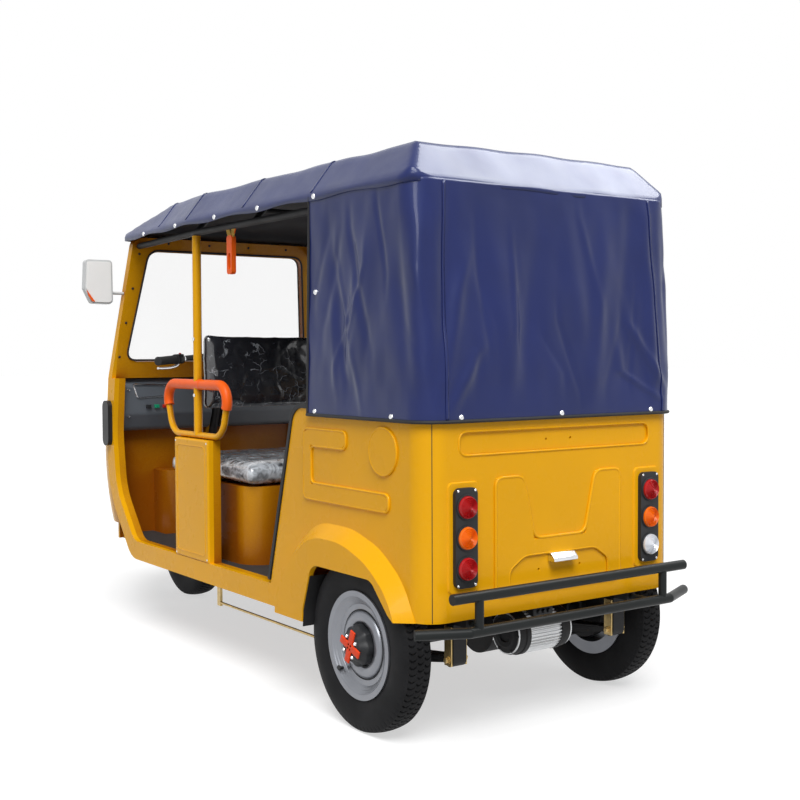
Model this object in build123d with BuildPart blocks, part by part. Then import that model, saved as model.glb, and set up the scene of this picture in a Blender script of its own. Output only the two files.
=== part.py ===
import os
from math import cos, radians, sin, tan

from build123d import *

os.makedirs("parts", exist_ok=True)

# Driving dimensions in millimetres. Stations run forward from the rear axle, heights run up from the road.
wheel_base = 2290.0
track = 990.0
nose_station = 2640.0
bumper_station = -412.0

# Clearances
seat_gap = 0.3
running_gap = 0.1
wheel_gap = 7.0

# Wheels
tyre_radius = 272.5
tyre_width = 102.0
bead_radius = 160.0
bead_width = 80.0
flange_radius = 170.0
flange_thickness = 6.0
rim_wall = 8.0
dish_depth = 18.0
hub_radius = 54.0
hub_length = 78.0
cap_radius = 34.0
cap_height = 24.0
spindle_radius = 20.0

# Rear tub
body_half = 525.0
wall = 18.0
body_bottom = 390.0
body_top = 1000.0
rear_face = -335.0
corner_radius = 80.0
seam_angle = 34.0
front_edge_top = 400.0
front_edge_foot = 572.0
front_corner_radius = 65.0
emboss = 6.0

# Wheel arch in the tub side
flare_reach = 47.0
flare_slope = 42.0
arch_top = 498.0
arch_front = 280.0
arch_back = -208.0
arch_radius = 55.0
flare_top = 632.0
flare_front = 505.0
flare_back = -290.0
flare_bend = 150.0

# Sills and front door frame
sill_bottom = 300.0
sill_top = 378.0
sill_depth = 50.0
post_width = 76.0
sill_bend_station = 1800.0
knee_station = 2030.0
knee_height = 560.0
waist_station = 2066.0
waist_height = 830.0
cowl_height = 1075.0

# Floor and frame rails
floor_height = 345.0
floor_thickness = 15.0
mat_thickness = 6.0
rail_half_spacing = 340.0
rail_width = 40.0
rail_height = 60.0
rear_rail_rise = 75.0
kick_station = 270.0
cross_member = 40.0

# Windscreen
screen_station = 2036.0
screen_rake = 12.0
screen_depth = 36.0
header_height = 1700.0
screen_lean_in = 60.0
screen_top_half = body_half - screen_lean_in
glass_low = 1155.0
glass_high = 1640.0
glass_low_inset = 63.0
glass_low_half = body_half - glass_low_inset
glass_high_inset = 75.0
glass_high_half = screen_top_half - glass_high_inset
glass_radius = 50.0
glass_thickness = 6.0

# Front end
shell_wall = 15.0
shell_bottom = 420.0
shell_foot_tuck = 46.0
shell_low_tuck = 17.0
shell_belt_tuck = 3.0
shell_top_tuck = 20.0
bulkhead_station = 2085.0
bulkhead_thickness = 15.0
well_station = 1945.0
well_half = 290.0
well_top = 650.0
dash_station = 1998.0
dash_bottom = 836.0
dash_round = 30.0

# Steering
steering_rake = 19.6
steering_offset = 40.0
stem_radius = 19.0
head_radius = 32.0
head_low = 374.0
head_high = 520.0
crown_low = 330.0
crown_height = 34.0
leg_spacing = 190.0
leg_radius = 18.0
front_axle_radius = 10.0
bar_radius = 12.5
bar_distance = 945.0
grip_radius = 17.0
grip_length = 125.0
guard_radius = 287.0
guard_thickness = 5.0
guard_half_width = 70.0

# Soft top
canvas = 6.0
hem_height = 980.0
eaves_drop = 10.0
roof_rise = 126.0
roof_overhang = 16.0
roof_half = body_half + roof_overhang
ridge_inset = 86.0
ridge_half = roof_half - ridge_inset
brow_overhang = 17.0
roof_front_half = screen_top_half + brow_overhang
roof_front = 1942.0
roof_rear_eaves = -297.0
roof_rear_ridge = -195.0
roof_brow = 1520.0
brow_drop = 10.0
crown_drop = 6.0
roof_corner = 70.0
curtain_front_hem = 300.0
curtain_front_eaves = 270.0
frame_radius = 13.0
rail_drop = 35.0
bow_drop = 56.0

# Doorway guards
pole_station = 1195.0
pole_radius = 17.0
guard_stand = 3.0
guard_face = body_half + guard_stand
guard_depth = 55.0
guard_station = 1197.0
guard_width = 295.0
guard_top = 850.0
guard_edge = 8.0
hoop_radius = 13.0
hoop_top = 1062.0
hoop_top_half = 281.0
hoop_low_half = 217.0
hoop_station = 1208.0
grip_sleeve = 20.0

# Seats
driver_seat_back = 950.0
driver_seat_front = 1660.0
seat_side_gap = 71.0
driver_seat_half = guard_face - guard_depth - seat_side_gap
driver_seat_height = 670.0
cushion_height = 95.0
seat_corner = 110.0
seat_edge = 25.0
backrest_corner = 30.0
backrest_edge = 18.0
bench_corner = 40.0
backrest_low = 965.0
backrest_high = 1255.0
backrest_thickness = 64.0
bench_front = 345.0
bench_height = 690.0
board = 20.0
bench_back_thickness = 85.0
bench_back_top = 1230.0

# Rear end fittings
bumper_radius = 16.0
bumper_high = 476.0
bumper_low = 372.0
bumper_half = 487.0
bumper_post_half = 387.0
bumper_bend_half = 420.0
bumper_tip_half = 569.0
bumper_tip_station = -341.0
lamp_inset = 138.0
lamp_half_spacing = body_half - lamp_inset
lamp_width = 83.0
lamp_low = 490.0
lamp_high = 786.0
lamp_thickness = 14.0
lamp_corner = 20.0
lens_radius = 34.0
lens_height = 18.0
plate_hole_spacing = 175.0
plate_hole_height = 511.0
badge_hole_spacing = 103.0
badge_hole_height = 914.0
hole_radius = 4.0

# Running gear
axle_tube_radius = 30.0
housing_radius = 92.0
drum_radius = 105.0
drum_width = 42.0
motor_radius = 68.0
motor_length = 230.0
motor_station = -150.0
spring_half_spacing = 340.0
spring_width = 50.0
spring_front = 430.0
spring_rear = -240.0
spring_pack = 34.0
eye_radius = 22.0
eye_height = 250.0
brake_rod_half = 405.0
brake_rod_height = 190.0
brake_lever_station = 1200.0

# Values worked out from the dimensions above
wheel_height = tyre_radius
axle_x = -(nose_station + bumper_station - bumper_radius) / 2
body_inner = body_half - wall
tub_inner_rear = rear_face + wall
sill_inner = body_half - sill_depth
floor_top = floor_height + floor_thickness
mat_top = floor_top + mat_thickness
rail_bottom = floor_height - rail_height
rear_rail_bottom = rail_bottom + rear_rail_rise
rear_rail_top = floor_height + rear_rail_rise
bulkhead_front = bulkhead_station + bulkhead_thickness
rake_x = sin(radians(steering_rake))
rake_z = cos(radians(steering_rake))
steering_station = wheel_base - steering_offset
screen_lean = tan(radians(screen_rake))
eaves_height = header_height - eaves_drop
ridge_height = eaves_height + roof_rise
rail_level = eaves_height - rail_drop
bow_height = ridge_height - bow_drop


def side_plane(y):
    return Plane(origin=(axle_x, y, 0), x_dir=(1, 0, 0), z_dir=(0, -1, 0))


def cross_plane(station):
    return Plane(origin=(axle_x + station, 0, 0), x_dir=(0, 1, 0), z_dir=(1, 0, 0))


def plan_plane(height):
    return Plane(origin=(axle_x, 0, height))


def point(station, y, height):
    return Vector(axle_x + station, y, height)


def steering_point(distance, y=0.0):
    return point(steering_station - distance * rake_x, y, wheel_height + distance * rake_z)


def screen_face(height):
    return screen_station - (height - cowl_height) * screen_lean


def rod(start, end, radius):
    along = end - start
    with BuildPart() as piece:
        with BuildSketch(Plane(origin=start, z_dir=along)):
            Circle(radius)
        extrude(amount=along.length)
    return piece.part


def block(low, high):
    with BuildPart() as piece:
        with BuildSketch(plan_plane(low[2])):
            with Locations(((low[0] + high[0]) / 2, (low[1] + high[1]) / 2)):
                Rectangle(high[0] - low[0], high[1] - low[1])
        extrude(amount=high[2] - low[2])
    return piece.part


def side_slab(outline, radii, y_low, y_high):
    with BuildPart() as piece:
        with BuildSketch(side_plane(y_high)):
            with BuildLine():
                FilletPolyline(*outline, radius=radii, close=True)
            make_face()
        extrude(amount=y_high - y_low)
    return piece.part


def write(piece, label):
    piece.part.label = label
    export_step(piece.part, f"parts/{label}.step")


# Wheels
def tyre(station, y):
    hub = Axis(tuple(point(station, 0, wheel_height)), (0, 1, 0))
    half = tyre_width / 2
    crown = tyre_radius - 0.05 * tyre_width
    shoulder = 0.40 * tyre_width
    bead_top = flange_radius + seat_gap
    bulge = (bead_top + crown) / 2
    with BuildPart() as piece:
        with BuildSketch(Plane(point(station, y, wheel_height), x_dir=(0, 1, 0), z_dir=(1, 0, 0))):
            with BuildLine():
                Polyline(
                    (-bead_width / 2, bead_top),
                    (-bead_width / 2, bead_radius),
                    (bead_width / 2, bead_radius),
                    (bead_width / 2, bead_top),
                )
                ThreePointArc((bead_width / 2, bead_top), (half, bulge), (shoulder, crown))
                ThreePointArc((shoulder, crown), (0, tyre_radius), (-shoulder, crown))
                ThreePointArc((-shoulder, crown), (-half, bulge), (-bead_width / 2, bead_top))
            make_face()
        revolve(axis=hub)
    return piece.part


def rim(station, y, outward, bore, cap):
    hub = Axis(tuple(point(station, 0, wheel_height)), (0, 1, 0))
    seat = bead_radius - seat_gap
    edge = bead_width / 2 + seat_gap
    well = seat - 3 * rim_wall
    inner = well - rim_wall
    with BuildPart() as piece:
        hub_middle = point(station, y, wheel_height)
        with BuildSketch(Plane(hub_middle, x_dir=(0, outward, 0), z_dir=(outward, 0, 0))):
            with BuildLine():
                Polyline(
                    (-edge - flange_thickness, flange_radius),
                    (-edge, flange_radius),
                    (-edge, seat),
                    (-edge / 2, seat),
                    (-edge / 4, well),
                    (edge / 4, well),
                    (edge / 2, seat),
                    (edge, seat),
                    (edge, flange_radius),
                    (edge + flange_thickness, flange_radius),
                    (edge + flange_thickness, seat - rim_wall),
                    (dish_depth + rim_wall, inner),
                    (dish_depth, 0.62 * inner),
                    (dish_depth, hub_radius),
                    (hub_length / 2, hub_radius - 0.2 * rim_wall),
                    (hub_length / 2, bore),
                    (-hub_length / 2, bore),
                    (-hub_length / 2, hub_radius),
                    (dish_depth - rim_wall, hub_radius),
                    (dish_depth - rim_wall, 0.62 * inner),
                    (dish_depth - rim_wall, inner),
                    (-edge - flange_thickness, inner),
                    close=True,
                )
            make_face()
        revolve(axis=hub)
        if cap:
            cap_seat = point(station, y + outward * hub_length / 2, wheel_height)
            with BuildSketch(Plane(cap_seat, x_dir=(1, 0, 0), z_dir=(0, outward, 0))):
                Circle(cap_radius)
            extrude(amount=cap_height, taper=12)
    return piece.part


rear_wheels = [("left", 1), ("right", -1)]

for side_name, side in rear_wheels:
    with BuildPart() as rear_tyre:
        add(tyre(0, side * track / 2))
    write(rear_tyre, f"tyre_rear_{side_name}")
    with BuildPart() as rear_rim:
        add(rim(0, side * track / 2, side, spindle_radius + running_gap, True))
    write(rear_rim, f"rim_rear_{side_name}")

with BuildPart() as tyre_front:
    add(tyre(wheel_base, 0))
write(tyre_front, "tyre_front")

with BuildPart() as rim_front:
    add(rim(wheel_base, 0, 1, front_axle_radius + running_gap, False))
write(rim_front, "rim_front")

# Chassis frame: rails, cross members, front hoop and steering head
hoop_front = bulkhead_front + seat_gap + cross_member
rail_outline = [
    (hoop_front, rail_bottom),
    (hoop_front, floor_height),
    (kick_station + rear_rail_rise, floor_height),
    (kick_station - rear_rail_rise, rear_rail_top),
    (tub_inner_rear, rear_rail_top),
    (tub_inner_rear, rear_rail_bottom),
    (kick_station - rear_rail_rise - rail_height / 2, rear_rail_bottom),
    (kick_station + rear_rail_rise - rail_height / 2, rail_bottom),
]
full_members = [650.0, 1150.0, 1700.0]
head_bar_low = steering_point((head_low + head_high) / 2).Z - cross_member / 2

with BuildPart() as chassis_frame:
    for side in (1, -1):
        rail_center = side * rail_half_spacing
        add(side_slab(rail_outline, [0] * 8, rail_center - rail_width / 2, rail_center + rail_width / 2))
        add(
            block(
                (bulkhead_front + seat_gap, rail_center - rail_width / 2, rail_bottom),
                (hoop_front, rail_center + rail_width / 2, head_bar_low + cross_member),
            )
        )
    for station in full_members:
        add(
            block(
                (station, -sill_inner, floor_height - cross_member),
                (station + cross_member, sill_inner, floor_height),
            )
        )
    add(
        block(
            (well_station - 2 * cross_member, -rail_half_spacing, floor_height - cross_member),
            (well_station - cross_member, rail_half_spacing, floor_height),
        )
    )
    add(
        block(
            (tub_inner_rear, corner_radius - body_half, body_bottom),
            (tub_inner_rear + cross_member, body_half - corner_radius, rear_rail_top),
        )
    )
    add(
        block(
            (bulkhead_front + seat_gap, -rail_half_spacing, head_bar_low),
            (hoop_front, rail_half_spacing, head_bar_low + cross_member),
        )
    )
    add(rod(steering_point(head_low), steering_point(head_high), head_radius))
    for side in (1, -1):
        spring_y = side * spring_half_spacing
        add(
            block(
                (spring_front - eye_radius, spring_y - rail_width / 2, eye_height + eye_radius + seat_gap),
                (spring_front + eye_radius, spring_y + rail_width / 2, floor_height),
            )
        )
    bore_low = steering_point(head_low - head_radius)
    bore_high = steering_point(head_high + head_radius)
    add(rod(bore_low, bore_high, stem_radius + running_gap), mode=Mode.SUBTRACT)
write(chassis_frame, "chassis_frame")

# Floor plate and its mat, cut away around the front wheel well
def floor_outline(margin):
    return [
        (bench_front + margin, -body_inner + margin),
        (front_edge_foot - margin, -body_inner + margin),
        (front_edge_foot - margin, -sill_inner + margin),
        (sill_bend_station - post_width - margin, -sill_inner + margin),
        (sill_bend_station - post_width - margin, -sill_inner + 2 * shell_wall + margin),
        (bulkhead_station - margin, -sill_inner + 2 * shell_wall + margin),
        (bulkhead_station - margin, -well_half - margin),
        (well_station - margin, -well_half - margin),
        (well_station - margin, well_half + margin),
        (bulkhead_station - margin, well_half + margin),
        (bulkhead_station - margin, sill_inner - 2 * shell_wall - margin),
        (sill_bend_station - post_width - margin, sill_inner - 2 * shell_wall - margin),
        (sill_bend_station - post_width - margin, sill_inner - margin),
        (front_edge_foot - margin, sill_inner - margin),
        (front_edge_foot - margin, body_inner - margin),
        (bench_front + margin, body_inner - margin),
    ]


with BuildPart() as floor_panel:
    with BuildSketch(plan_plane(floor_height)):
        Polygon(*floor_outline(0))
    extrude(amount=floor_thickness)
write(floor_panel, "floor_panel")

with BuildPart() as floor_mat:
    with BuildSketch(plan_plane(floor_top)):
        Polygon(*floor_outline(2 * mat_thickness))
    extrude(amount=mat_thickness)
write(floor_mat, "floor_mat")

# Sill that bends up into the front door post
waist_top = (screen_station, cowl_height)
frame_line = [
    (sill_bend_station, sill_bottom),
    (knee_station, knee_height),
    (waist_station, waist_height),
    waist_top,
]
door_frame_outline = [
    (front_edge_foot + wall, sill_bottom),
    *frame_line,
    (screen_station - post_width, cowl_height),
    (waist_station - post_width, waist_height),
    (knee_station - post_width, knee_height + 0.3 * post_width),
    (sill_bend_station - 0.4 * post_width, sill_top),
    (front_edge_foot + wall, sill_top),
]
outer_bends = [120, 380, 500]
inner_bends = [400, 250, 90]
door_frame_radii = [0, *outer_bends, 0, 0, *inner_bends, 0]

with BuildPart() as door_frame_left:
    add(side_slab(door_frame_outline, door_frame_radii, sill_inner, body_half))
write(door_frame_left, "door_frame_left")

with BuildPart() as door_frame_right:
    mirror(door_frame_left.part, about=Plane.XZ)
write(door_frame_right, "door_frame_right")


# Rear tub: the plan line of its wall runs along the side and round the corner
def tub_strip(first_angle, last_angle, side_station):
    center = (rear_face + corner_radius, body_half - corner_radius)
    inner = corner_radius - wall

    def spot(radius, angle):
        return (center[0] - radius * cos(radians(angle)), center[1] + radius * sin(radians(angle)))

    middle = (first_angle + last_angle) / 2
    with BuildLine() as strip:
        if side_station is None:
            Line((rear_face, 0), (rear_face, center[1]))
            Line((tub_inner_rear, 0), (tub_inner_rear, center[1]))
            Line((rear_face, 0), (tub_inner_rear, 0))
            Line(spot(corner_radius, last_angle), spot(inner, last_angle))
        else:
            Line((center[0], body_half), (side_station, body_half))
            Line((center[0], body_inner), (side_station, body_inner))
            Line((side_station, body_half), (side_station, body_inner))
            Line(spot(corner_radius, first_angle), spot(inner, first_angle))
        ThreePointArc(
            spot(corner_radius, first_angle), spot(corner_radius, middle), spot(corner_radius, last_angle)
        )
        ThreePointArc(spot(inner, first_angle), spot(inner, middle), spot(inner, last_angle))
    return strip.line


tub_side_outline = [
    (rear_face - wall, body_bottom),
    (arch_back, body_bottom),
    (arch_front, sill_bottom),
    (front_edge_foot + wall - seat_gap, sill_bottom),
    (front_edge_foot + wall - seat_gap, sill_top),
    (front_edge_foot, sill_top),
    (front_edge_top, body_top),
    (rear_face - wall, body_top),
]
tub_side_radii = [0, 0, 0, 0, 0, 0, front_corner_radius, 0]


def flare_outline(inset):
    top = flare_top - inset
    return [
        (flare_front - inset, sill_bottom),
        (flare_front - inset, sill_bottom + 0.2 * (flare_top - sill_bottom)),
        (0.76 * flare_front - inset, sill_bottom + 0.72 * (flare_top - sill_bottom) - 0.6 * inset),
        (0.5 * flare_front - 0.5 * inset, top),
        (0.1 * flare_front, top),
        (0.36 * flare_back + 0.4 * inset, top - 0.13 * (flare_top - sill_bottom)),
        (0.78 * flare_back + 0.8 * inset, sill_bottom + 0.61 * (flare_top - sill_bottom) - 0.7 * inset),
        (flare_back + inset, sill_bottom + 0.24 * (flare_top - sill_bottom)),
        (flare_back + inset, sill_bottom),
    ]


flare_radii = [share * flare_bend for share in (0, 1, 2, 1.6, 2.4, 2, 1.6, 1.3, 0)]


def flare_face(y, inset):
    with BuildSketch(side_plane(y)) as face:
        with BuildLine():
            FilletPolyline(*flare_outline(inset), radius=flare_radii, close=True)
        make_face()
    return face.sketch


arch_outline = [
    (arch_front + 0.1 * arch_radius, sill_bottom - wall),
    (arch_front, sill_bottom + 0.2 * (arch_top - sill_bottom)),
    (arch_front - arch_radius, arch_top),
    (arch_back + 1.6 * arch_radius, arch_top),
    (arch_back, body_bottom + wall),
    (arch_back - 0.5 * arch_radius, body_bottom),
    (arch_back - 0.5 * arch_radius, sill_bottom - wall),
]
arch_radii = [0, arch_radius, arch_radius, arch_radius, 0.3 * arch_radius, 0, 0]
bar_emboss = [
    ((205, 906), 250, 56),
    ((90, 729), 490, 54),
    ((312, 815), 44, 230),
]
disc_emboss = (-125, 885)
disc_radius = 72.0

with BuildPart() as rear_side_left:
    with BuildSketch(plan_plane(sill_bottom)):
        with BuildLine():
            add(tub_strip(seam_angle, 90, front_edge_foot + wall))
        make_face()
    extrude(amount=body_top - sill_bottom)
    loft([flare_face(body_inner, 0), flare_face(body_half, 0)], ruled=True)
    loft([flare_face(body_half, 0), flare_face(body_half + flare_reach, flare_slope)], ruled=True)
    with BuildSketch(side_plane(body_half + flare_reach + wall)):
        with BuildLine():
            FilletPolyline(*tub_side_outline, radius=tub_side_radii, close=True)
        make_face()
    extrude(amount=2 * body_half, mode=Mode.INTERSECT)
    pocket_floor = flare_face(body_half + flare_reach - wall, 0.75 * flare_slope)
    loft([flare_face(body_inner - wall, wall), flare_face(body_half, wall)], ruled=True, mode=Mode.SUBTRACT)
    loft([flare_face(body_half - seat_gap, wall), pocket_floor], ruled=True, mode=Mode.SUBTRACT)
    with BuildSketch(side_plane(body_half + flare_reach + wall)):
        with BuildLine():
            FilletPolyline(*arch_outline, radius=arch_radii, close=True)
        make_face()
    extrude(amount=flare_reach + 3 * wall, mode=Mode.SUBTRACT)
    with BuildSketch(side_plane(body_half)):
        for place, width, height in bar_emboss:
            with Locations(place):
                RectangleRounded(width, height, 0.45 * min(width, height))
        with Locations(disc_emboss):
            Circle(disc_radius)
    extrude(amount=-emboss, taper=30)
write(rear_side_left, "rear_side_left")

with BuildPart() as rear_side_right:
    mirror(rear_side_left.part, about=Plane.XZ)
write(rear_side_right, "rear_side_right")

# Rear panel with its pressed shapes, lamp seats and holes
crest_gap = 125.0
crest_leg = 110.0
crest_waist = 155.0
plate_inset = 52.0
plate_top_inset = 112.0
badge_reach = 13.0
crest_half = lamp_half_spacing - crest_gap
crest_right = [
    (crest_half - crest_waist, 610),
    (crest_half - crest_leg, 805),
    (crest_half, 805),
    (crest_half, 450),
]
crest_outline = [(-y, height) for y, height in reversed(crest_right)] + crest_right
plate_right = [
    (crest_half - plate_top_inset, 560),
    (crest_half - plate_inset, 520),
    (crest_half - plate_inset, 450),
]
plate_recess = [(-y, height) for y, height in reversed(plate_right)] + plate_right
badge_length = 2 * (lamp_half_spacing + badge_reach)
badge_height = 71.0
lamp_seat = 17.0

with BuildPart() as rear_panel:
    with BuildSketch(plan_plane(body_bottom)):
        with BuildLine():
            add(tub_strip(0, seam_angle, None))
        make_face()
        mirror(about=Plane.XZ)
    extrude(amount=body_top - body_bottom)
    with BuildSketch(cross_plane(rear_face)):
        Polygon(*crest_outline)
        for side in (1, -1):
            with Locations((side * lamp_half_spacing, (lamp_low + lamp_high) / 2)):
                RectangleRounded(lamp_width + 2 * lamp_seat, lamp_high - lamp_low + 2 * lamp_seat, lamp_seat)
    extrude(amount=-emboss, taper=30)
    with BuildSketch(cross_plane(rear_face - 2 * emboss)):
        Polygon(*plate_recess)
    extrude(amount=2 * emboss, mode=Mode.SUBTRACT)
    with BuildSketch(cross_plane(rear_face)):
        with Locations((0, badge_hole_height)):
            SlotOverall(badge_length, badge_height)
    extrude(amount=emboss, mode=Mode.SUBTRACT)
    with BuildSketch(cross_plane(rear_face - emboss)):
        for side in (1, -1):
            with Locations(
                (side * plate_hole_spacing / 2, plate_hole_height),
                (side * badge_hole_spacing / 2, badge_hole_height),
            ):
                Circle(hole_radius)
    extrude(amount=wall + 2 * emboss, mode=Mode.SUBTRACT)
write(rear_panel, "rear_panel")

# Rubber trim along the front edge of the tub sides
trim_width = 14.0
trim_depth = wall + 10.0
edge_run = front_edge_foot - front_edge_top
edge_rise = body_top - sill_top
edge_length = (edge_run**2 + edge_rise**2) ** 0.5
trim_shift = trim_width / 2 + seat_gap
trim_corner = front_edge_top + trim_shift * (edge_length - edge_run) / edge_rise
trim_foot = front_edge_foot + trim_shift * edge_length / edge_rise
with BuildPart() as door_seals:
    for side in (1, -1):
        with BuildSketch(side_plane(side * (body_half - wall / 2))):
            with BuildLine():
                FilletPolyline(
                    (curtain_front_hem + trim_width, body_top + trim_shift),
                    (trim_corner, body_top + trim_shift),
                    (trim_foot, sill_top + trim_width),
                    radius=front_corner_radius + trim_shift,
                )
            trace(line_width=trim_width)
        extrude(amount=trim_depth / 2, both=True)
write(door_seals, "door_seals")

# Front shell: an outer and an inner loft through four level outlines
shell_levels = [
    # height, half width, shoulder station, tip station, half width of the tip
    (shell_bottom, body_half - shell_foot_tuck, 2112, nose_station - 22, 240),
    (600, body_half - shell_low_tuck, 2112, nose_station, 240),
    (860, body_half - shell_belt_tuck, 2100, nose_station - 70, 240),
    (cowl_height + 37, body_half - shell_top_tuck, 2090, nose_station - 310, 290),
]


def shell_outline(half, shoulder, tip, tip_half, inset):
    back = sill_bend_station - 2 * post_width
    return [
        (back, -half + inset),
        (shoulder, -half + inset),
        (tip - inset, -tip_half + 0.5 * inset),
        (tip - inset, tip_half - 0.5 * inset),
        (shoulder, half - inset),
        (back, half - inset),
    ]


shell_radii = [0, 230, 200, 200, 230, 0]
frame_front = 2 * seat_gap
behind_frame = [
    (0, 0),
    (sill_bend_station + frame_front, 0),
    (sill_bend_station + frame_front, sill_bottom),
    *[(station + frame_front, height) for station, height in frame_line[1:]],
    (screen_face(header_height) + frame_front, header_height),
    (0, header_height),
]


def shell_block(inset):
    with BuildPart() as piece:
        for height, half, shoulder, tip, tip_half in shell_levels:
            with BuildSketch(plan_plane(height - inset)):
                with BuildLine():
                    FilletPolyline(
                        *shell_outline(half, shoulder, tip, tip_half, inset), radius=shell_radii, close=True
                    )
                make_face()
        loft()
    return piece.part


with BuildPart() as front_shell:
    add(shell_block(0))
    add(shell_block(shell_wall), mode=Mode.SUBTRACT)
    add(
        side_slab(behind_frame, [0, 0, *outer_bends, 0, 0, 0], -body_half - wall, body_half + wall),
        mode=Mode.SUBTRACT,
    )
write(front_shell, "front_shell")

# Bulkhead behind the front shell, with the wheel well pressed into the cabin
bulkhead_half = sill_inner - shell_wall
with BuildPart() as front_bulkhead:
    add(block((bulkhead_station, -bulkhead_half, floor_height), (bulkhead_front, bulkhead_half, cowl_height)))
    with BuildSketch(plan_plane(floor_height)):
        with BuildLine():
            FilletPolyline(
                (well_station, -well_half),
                (bulkhead_station, -well_half),
                (bulkhead_station, well_half),
                (well_station, well_half),
                radius=[0.35 * well_half, 0, 0, 0.35 * well_half],
                close=True,
            )
        make_face()
    extrude(amount=well_top - floor_height)
    with BuildSketch(plan_plane(floor_height - shell_wall)):
        with BuildLine():
            FilletPolyline(
                (well_station + shell_wall, -well_half + shell_wall),
                (bulkhead_front + shell_wall, -well_half + shell_wall),
                (bulkhead_front + shell_wall, well_half - shell_wall),
                (well_station + shell_wall, well_half - shell_wall),
                radius=[0.3 * well_half, 0, 0, 0.3 * well_half],
                close=True,
            )
        make_face()
    extrude(amount=well_top - floor_height, mode=Mode.SUBTRACT)
    add(
        rod(steering_point(crown_low), steering_point(head_high + 4 * head_radius), head_radius + wheel_gap),
        mode=Mode.SUBTRACT,
    )
write(front_bulkhead, "front_bulkhead")

# Dashboard, hollowed for the steering stem
with BuildPart() as dashboard:
    add(
        side_slab(
            [
                (bulkhead_station, dash_bottom),
                (dash_station + 0.35 * (bulkhead_station - dash_station), dash_bottom),
                (dash_station, dash_bottom + post_width),
                (dash_station, cowl_height - post_width / 2),
                (dash_station + post_width / 2, cowl_height),
                (bulkhead_station, cowl_height),
            ],
            [0, *[share * dash_round for share in (1, 1.3, 0.7, 1)], 0],
            -sill_inner,
            sill_inner,
        )
    )
    stem_slot = rod(steering_point(head_low), steering_point(bar_distance), head_radius + wheel_gap)
    add(stem_slot, mode=Mode.SUBTRACT)
write(dashboard, "dashboard")

# Windscreen frame and glass, leaning back
screen_plane = Plane(
    origin=point(screen_station, 0, cowl_height),
    x_dir=(0, 1, 0),
    z_dir=(cos(radians(screen_rake)), 0, sin(radians(screen_rake))),
)
screen_unit = cos(radians(screen_rake))
screen_high = (header_height - cowl_height) / screen_unit
pane_low = (glass_low - cowl_height) / screen_unit
pane_high = (glass_high - cowl_height) / screen_unit


def pane_outline(gap):
    return [
        (-glass_low_half + gap, pane_low + gap),
        (glass_low_half - gap, pane_low + gap),
        (glass_high_half - gap, pane_high - gap),
        (-glass_high_half + gap, pane_high - gap),
    ]


with BuildPart() as windscreen_frame:
    with BuildSketch(screen_plane):
        with BuildLine():
            FilletPolyline(
                (-body_half, 0),
                (body_half, 0),
                (screen_top_half, screen_high),
                (-screen_top_half, screen_high),
                radius=[0, 0, glass_radius, glass_radius],
                close=True,
            )
        make_face()
        with BuildLine():
            FilletPolyline(*pane_outline(0), radius=glass_radius, close=True)
        make_face(mode=Mode.SUBTRACT)
    extrude(amount=-screen_depth)
    add(
        block((0, -body_half, cowl_height - screen_depth), (nose_station, body_half, cowl_height)),
        mode=Mode.SUBTRACT,
    )
write(windscreen_frame, "windscreen_frame")

with BuildPart() as windscreen_glass:
    with BuildSketch(screen_plane.offset(-glass_thickness)):
        with BuildLine():
            FilletPolyline(*pane_outline(seat_gap), radius=glass_radius, close=True)
        make_face()
    extrude(amount=-glass_thickness)
write(windscreen_glass, "windscreen_glass")

# Soft top frame: side rails, bows and posts
frame_half = body_inner - frame_radius - seat_gap
header_back = screen_face(rail_level) - screen_depth / screen_unit
rail_front_half = screen_top_half - 2 * frame_radius
rail_tip = header_back - seat_gap - 0.32 * frame_radius
rail_rear = rear_face + corner_radius
rail_corner = 60.0
rail_bend = 300.0
post_radius = 0.85 * frame_radius
post_stations = [rail_rear + rail_corner, curtain_front_hem - frame_radius]
bow_radius = 0.8 * frame_radius
bow_half = 0.88 * ridge_half
bow_bend = 60.0
bow_stations = [post_stations[1], 730.0, pole_station]
with BuildPart() as canopy_frame:
    with BuildLine(plan_plane(rail_level)) as rail_path:
        FilletPolyline(
            (rail_tip, -rail_front_half),
            (pole_station, -frame_half),
            (rail_rear, -frame_half),
            (rail_rear, frame_half),
            (pole_station, frame_half),
            (rail_tip, rail_front_half),
            radius=[rail_bend, rail_corner, rail_corner, rail_bend],
        )
    rail_wire = rail_path.wires()[0]
    with BuildSketch(Plane(rail_wire @ 0, z_dir=rail_wire % 0)):
        Circle(frame_radius)
    sweep(path=rail_wire)
    for station in bow_stations:
        with BuildLine(cross_plane(station)) as bow_path:
            FilletPolyline(
                (-frame_half, rail_level),
                (-bow_half, bow_height),
                (bow_half, bow_height),
                (frame_half, rail_level),
                radius=bow_bend,
            )
        bow_wire = bow_path.wires()[0]
        with BuildSketch(Plane(bow_wire @ 0, z_dir=bow_wire % 0)):
            Circle(bow_radius)
        sweep(path=bow_wire)
    for side in (1, -1):
        for station in post_stations:
            post_foot = point(station, side * frame_half, bench_height + cushion_height)
            add(rod(post_foot, point(station, side * frame_half, rail_level), post_radius))
write(canopy_frame, "canopy_frame")


# Canvas roof: a side outline, a cross outline and a plan outline, each an extrusion, meet in one block
roof_side_radii = [0, 0.4 * roof_rise, 1.4 * roof_rise, 3 * canvas, 0]
roof_cross_radii = [0, 3 * canvas, 0.5 * roof_rise, 0, 0.5 * roof_rise, 3 * canvas, 0]


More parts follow.
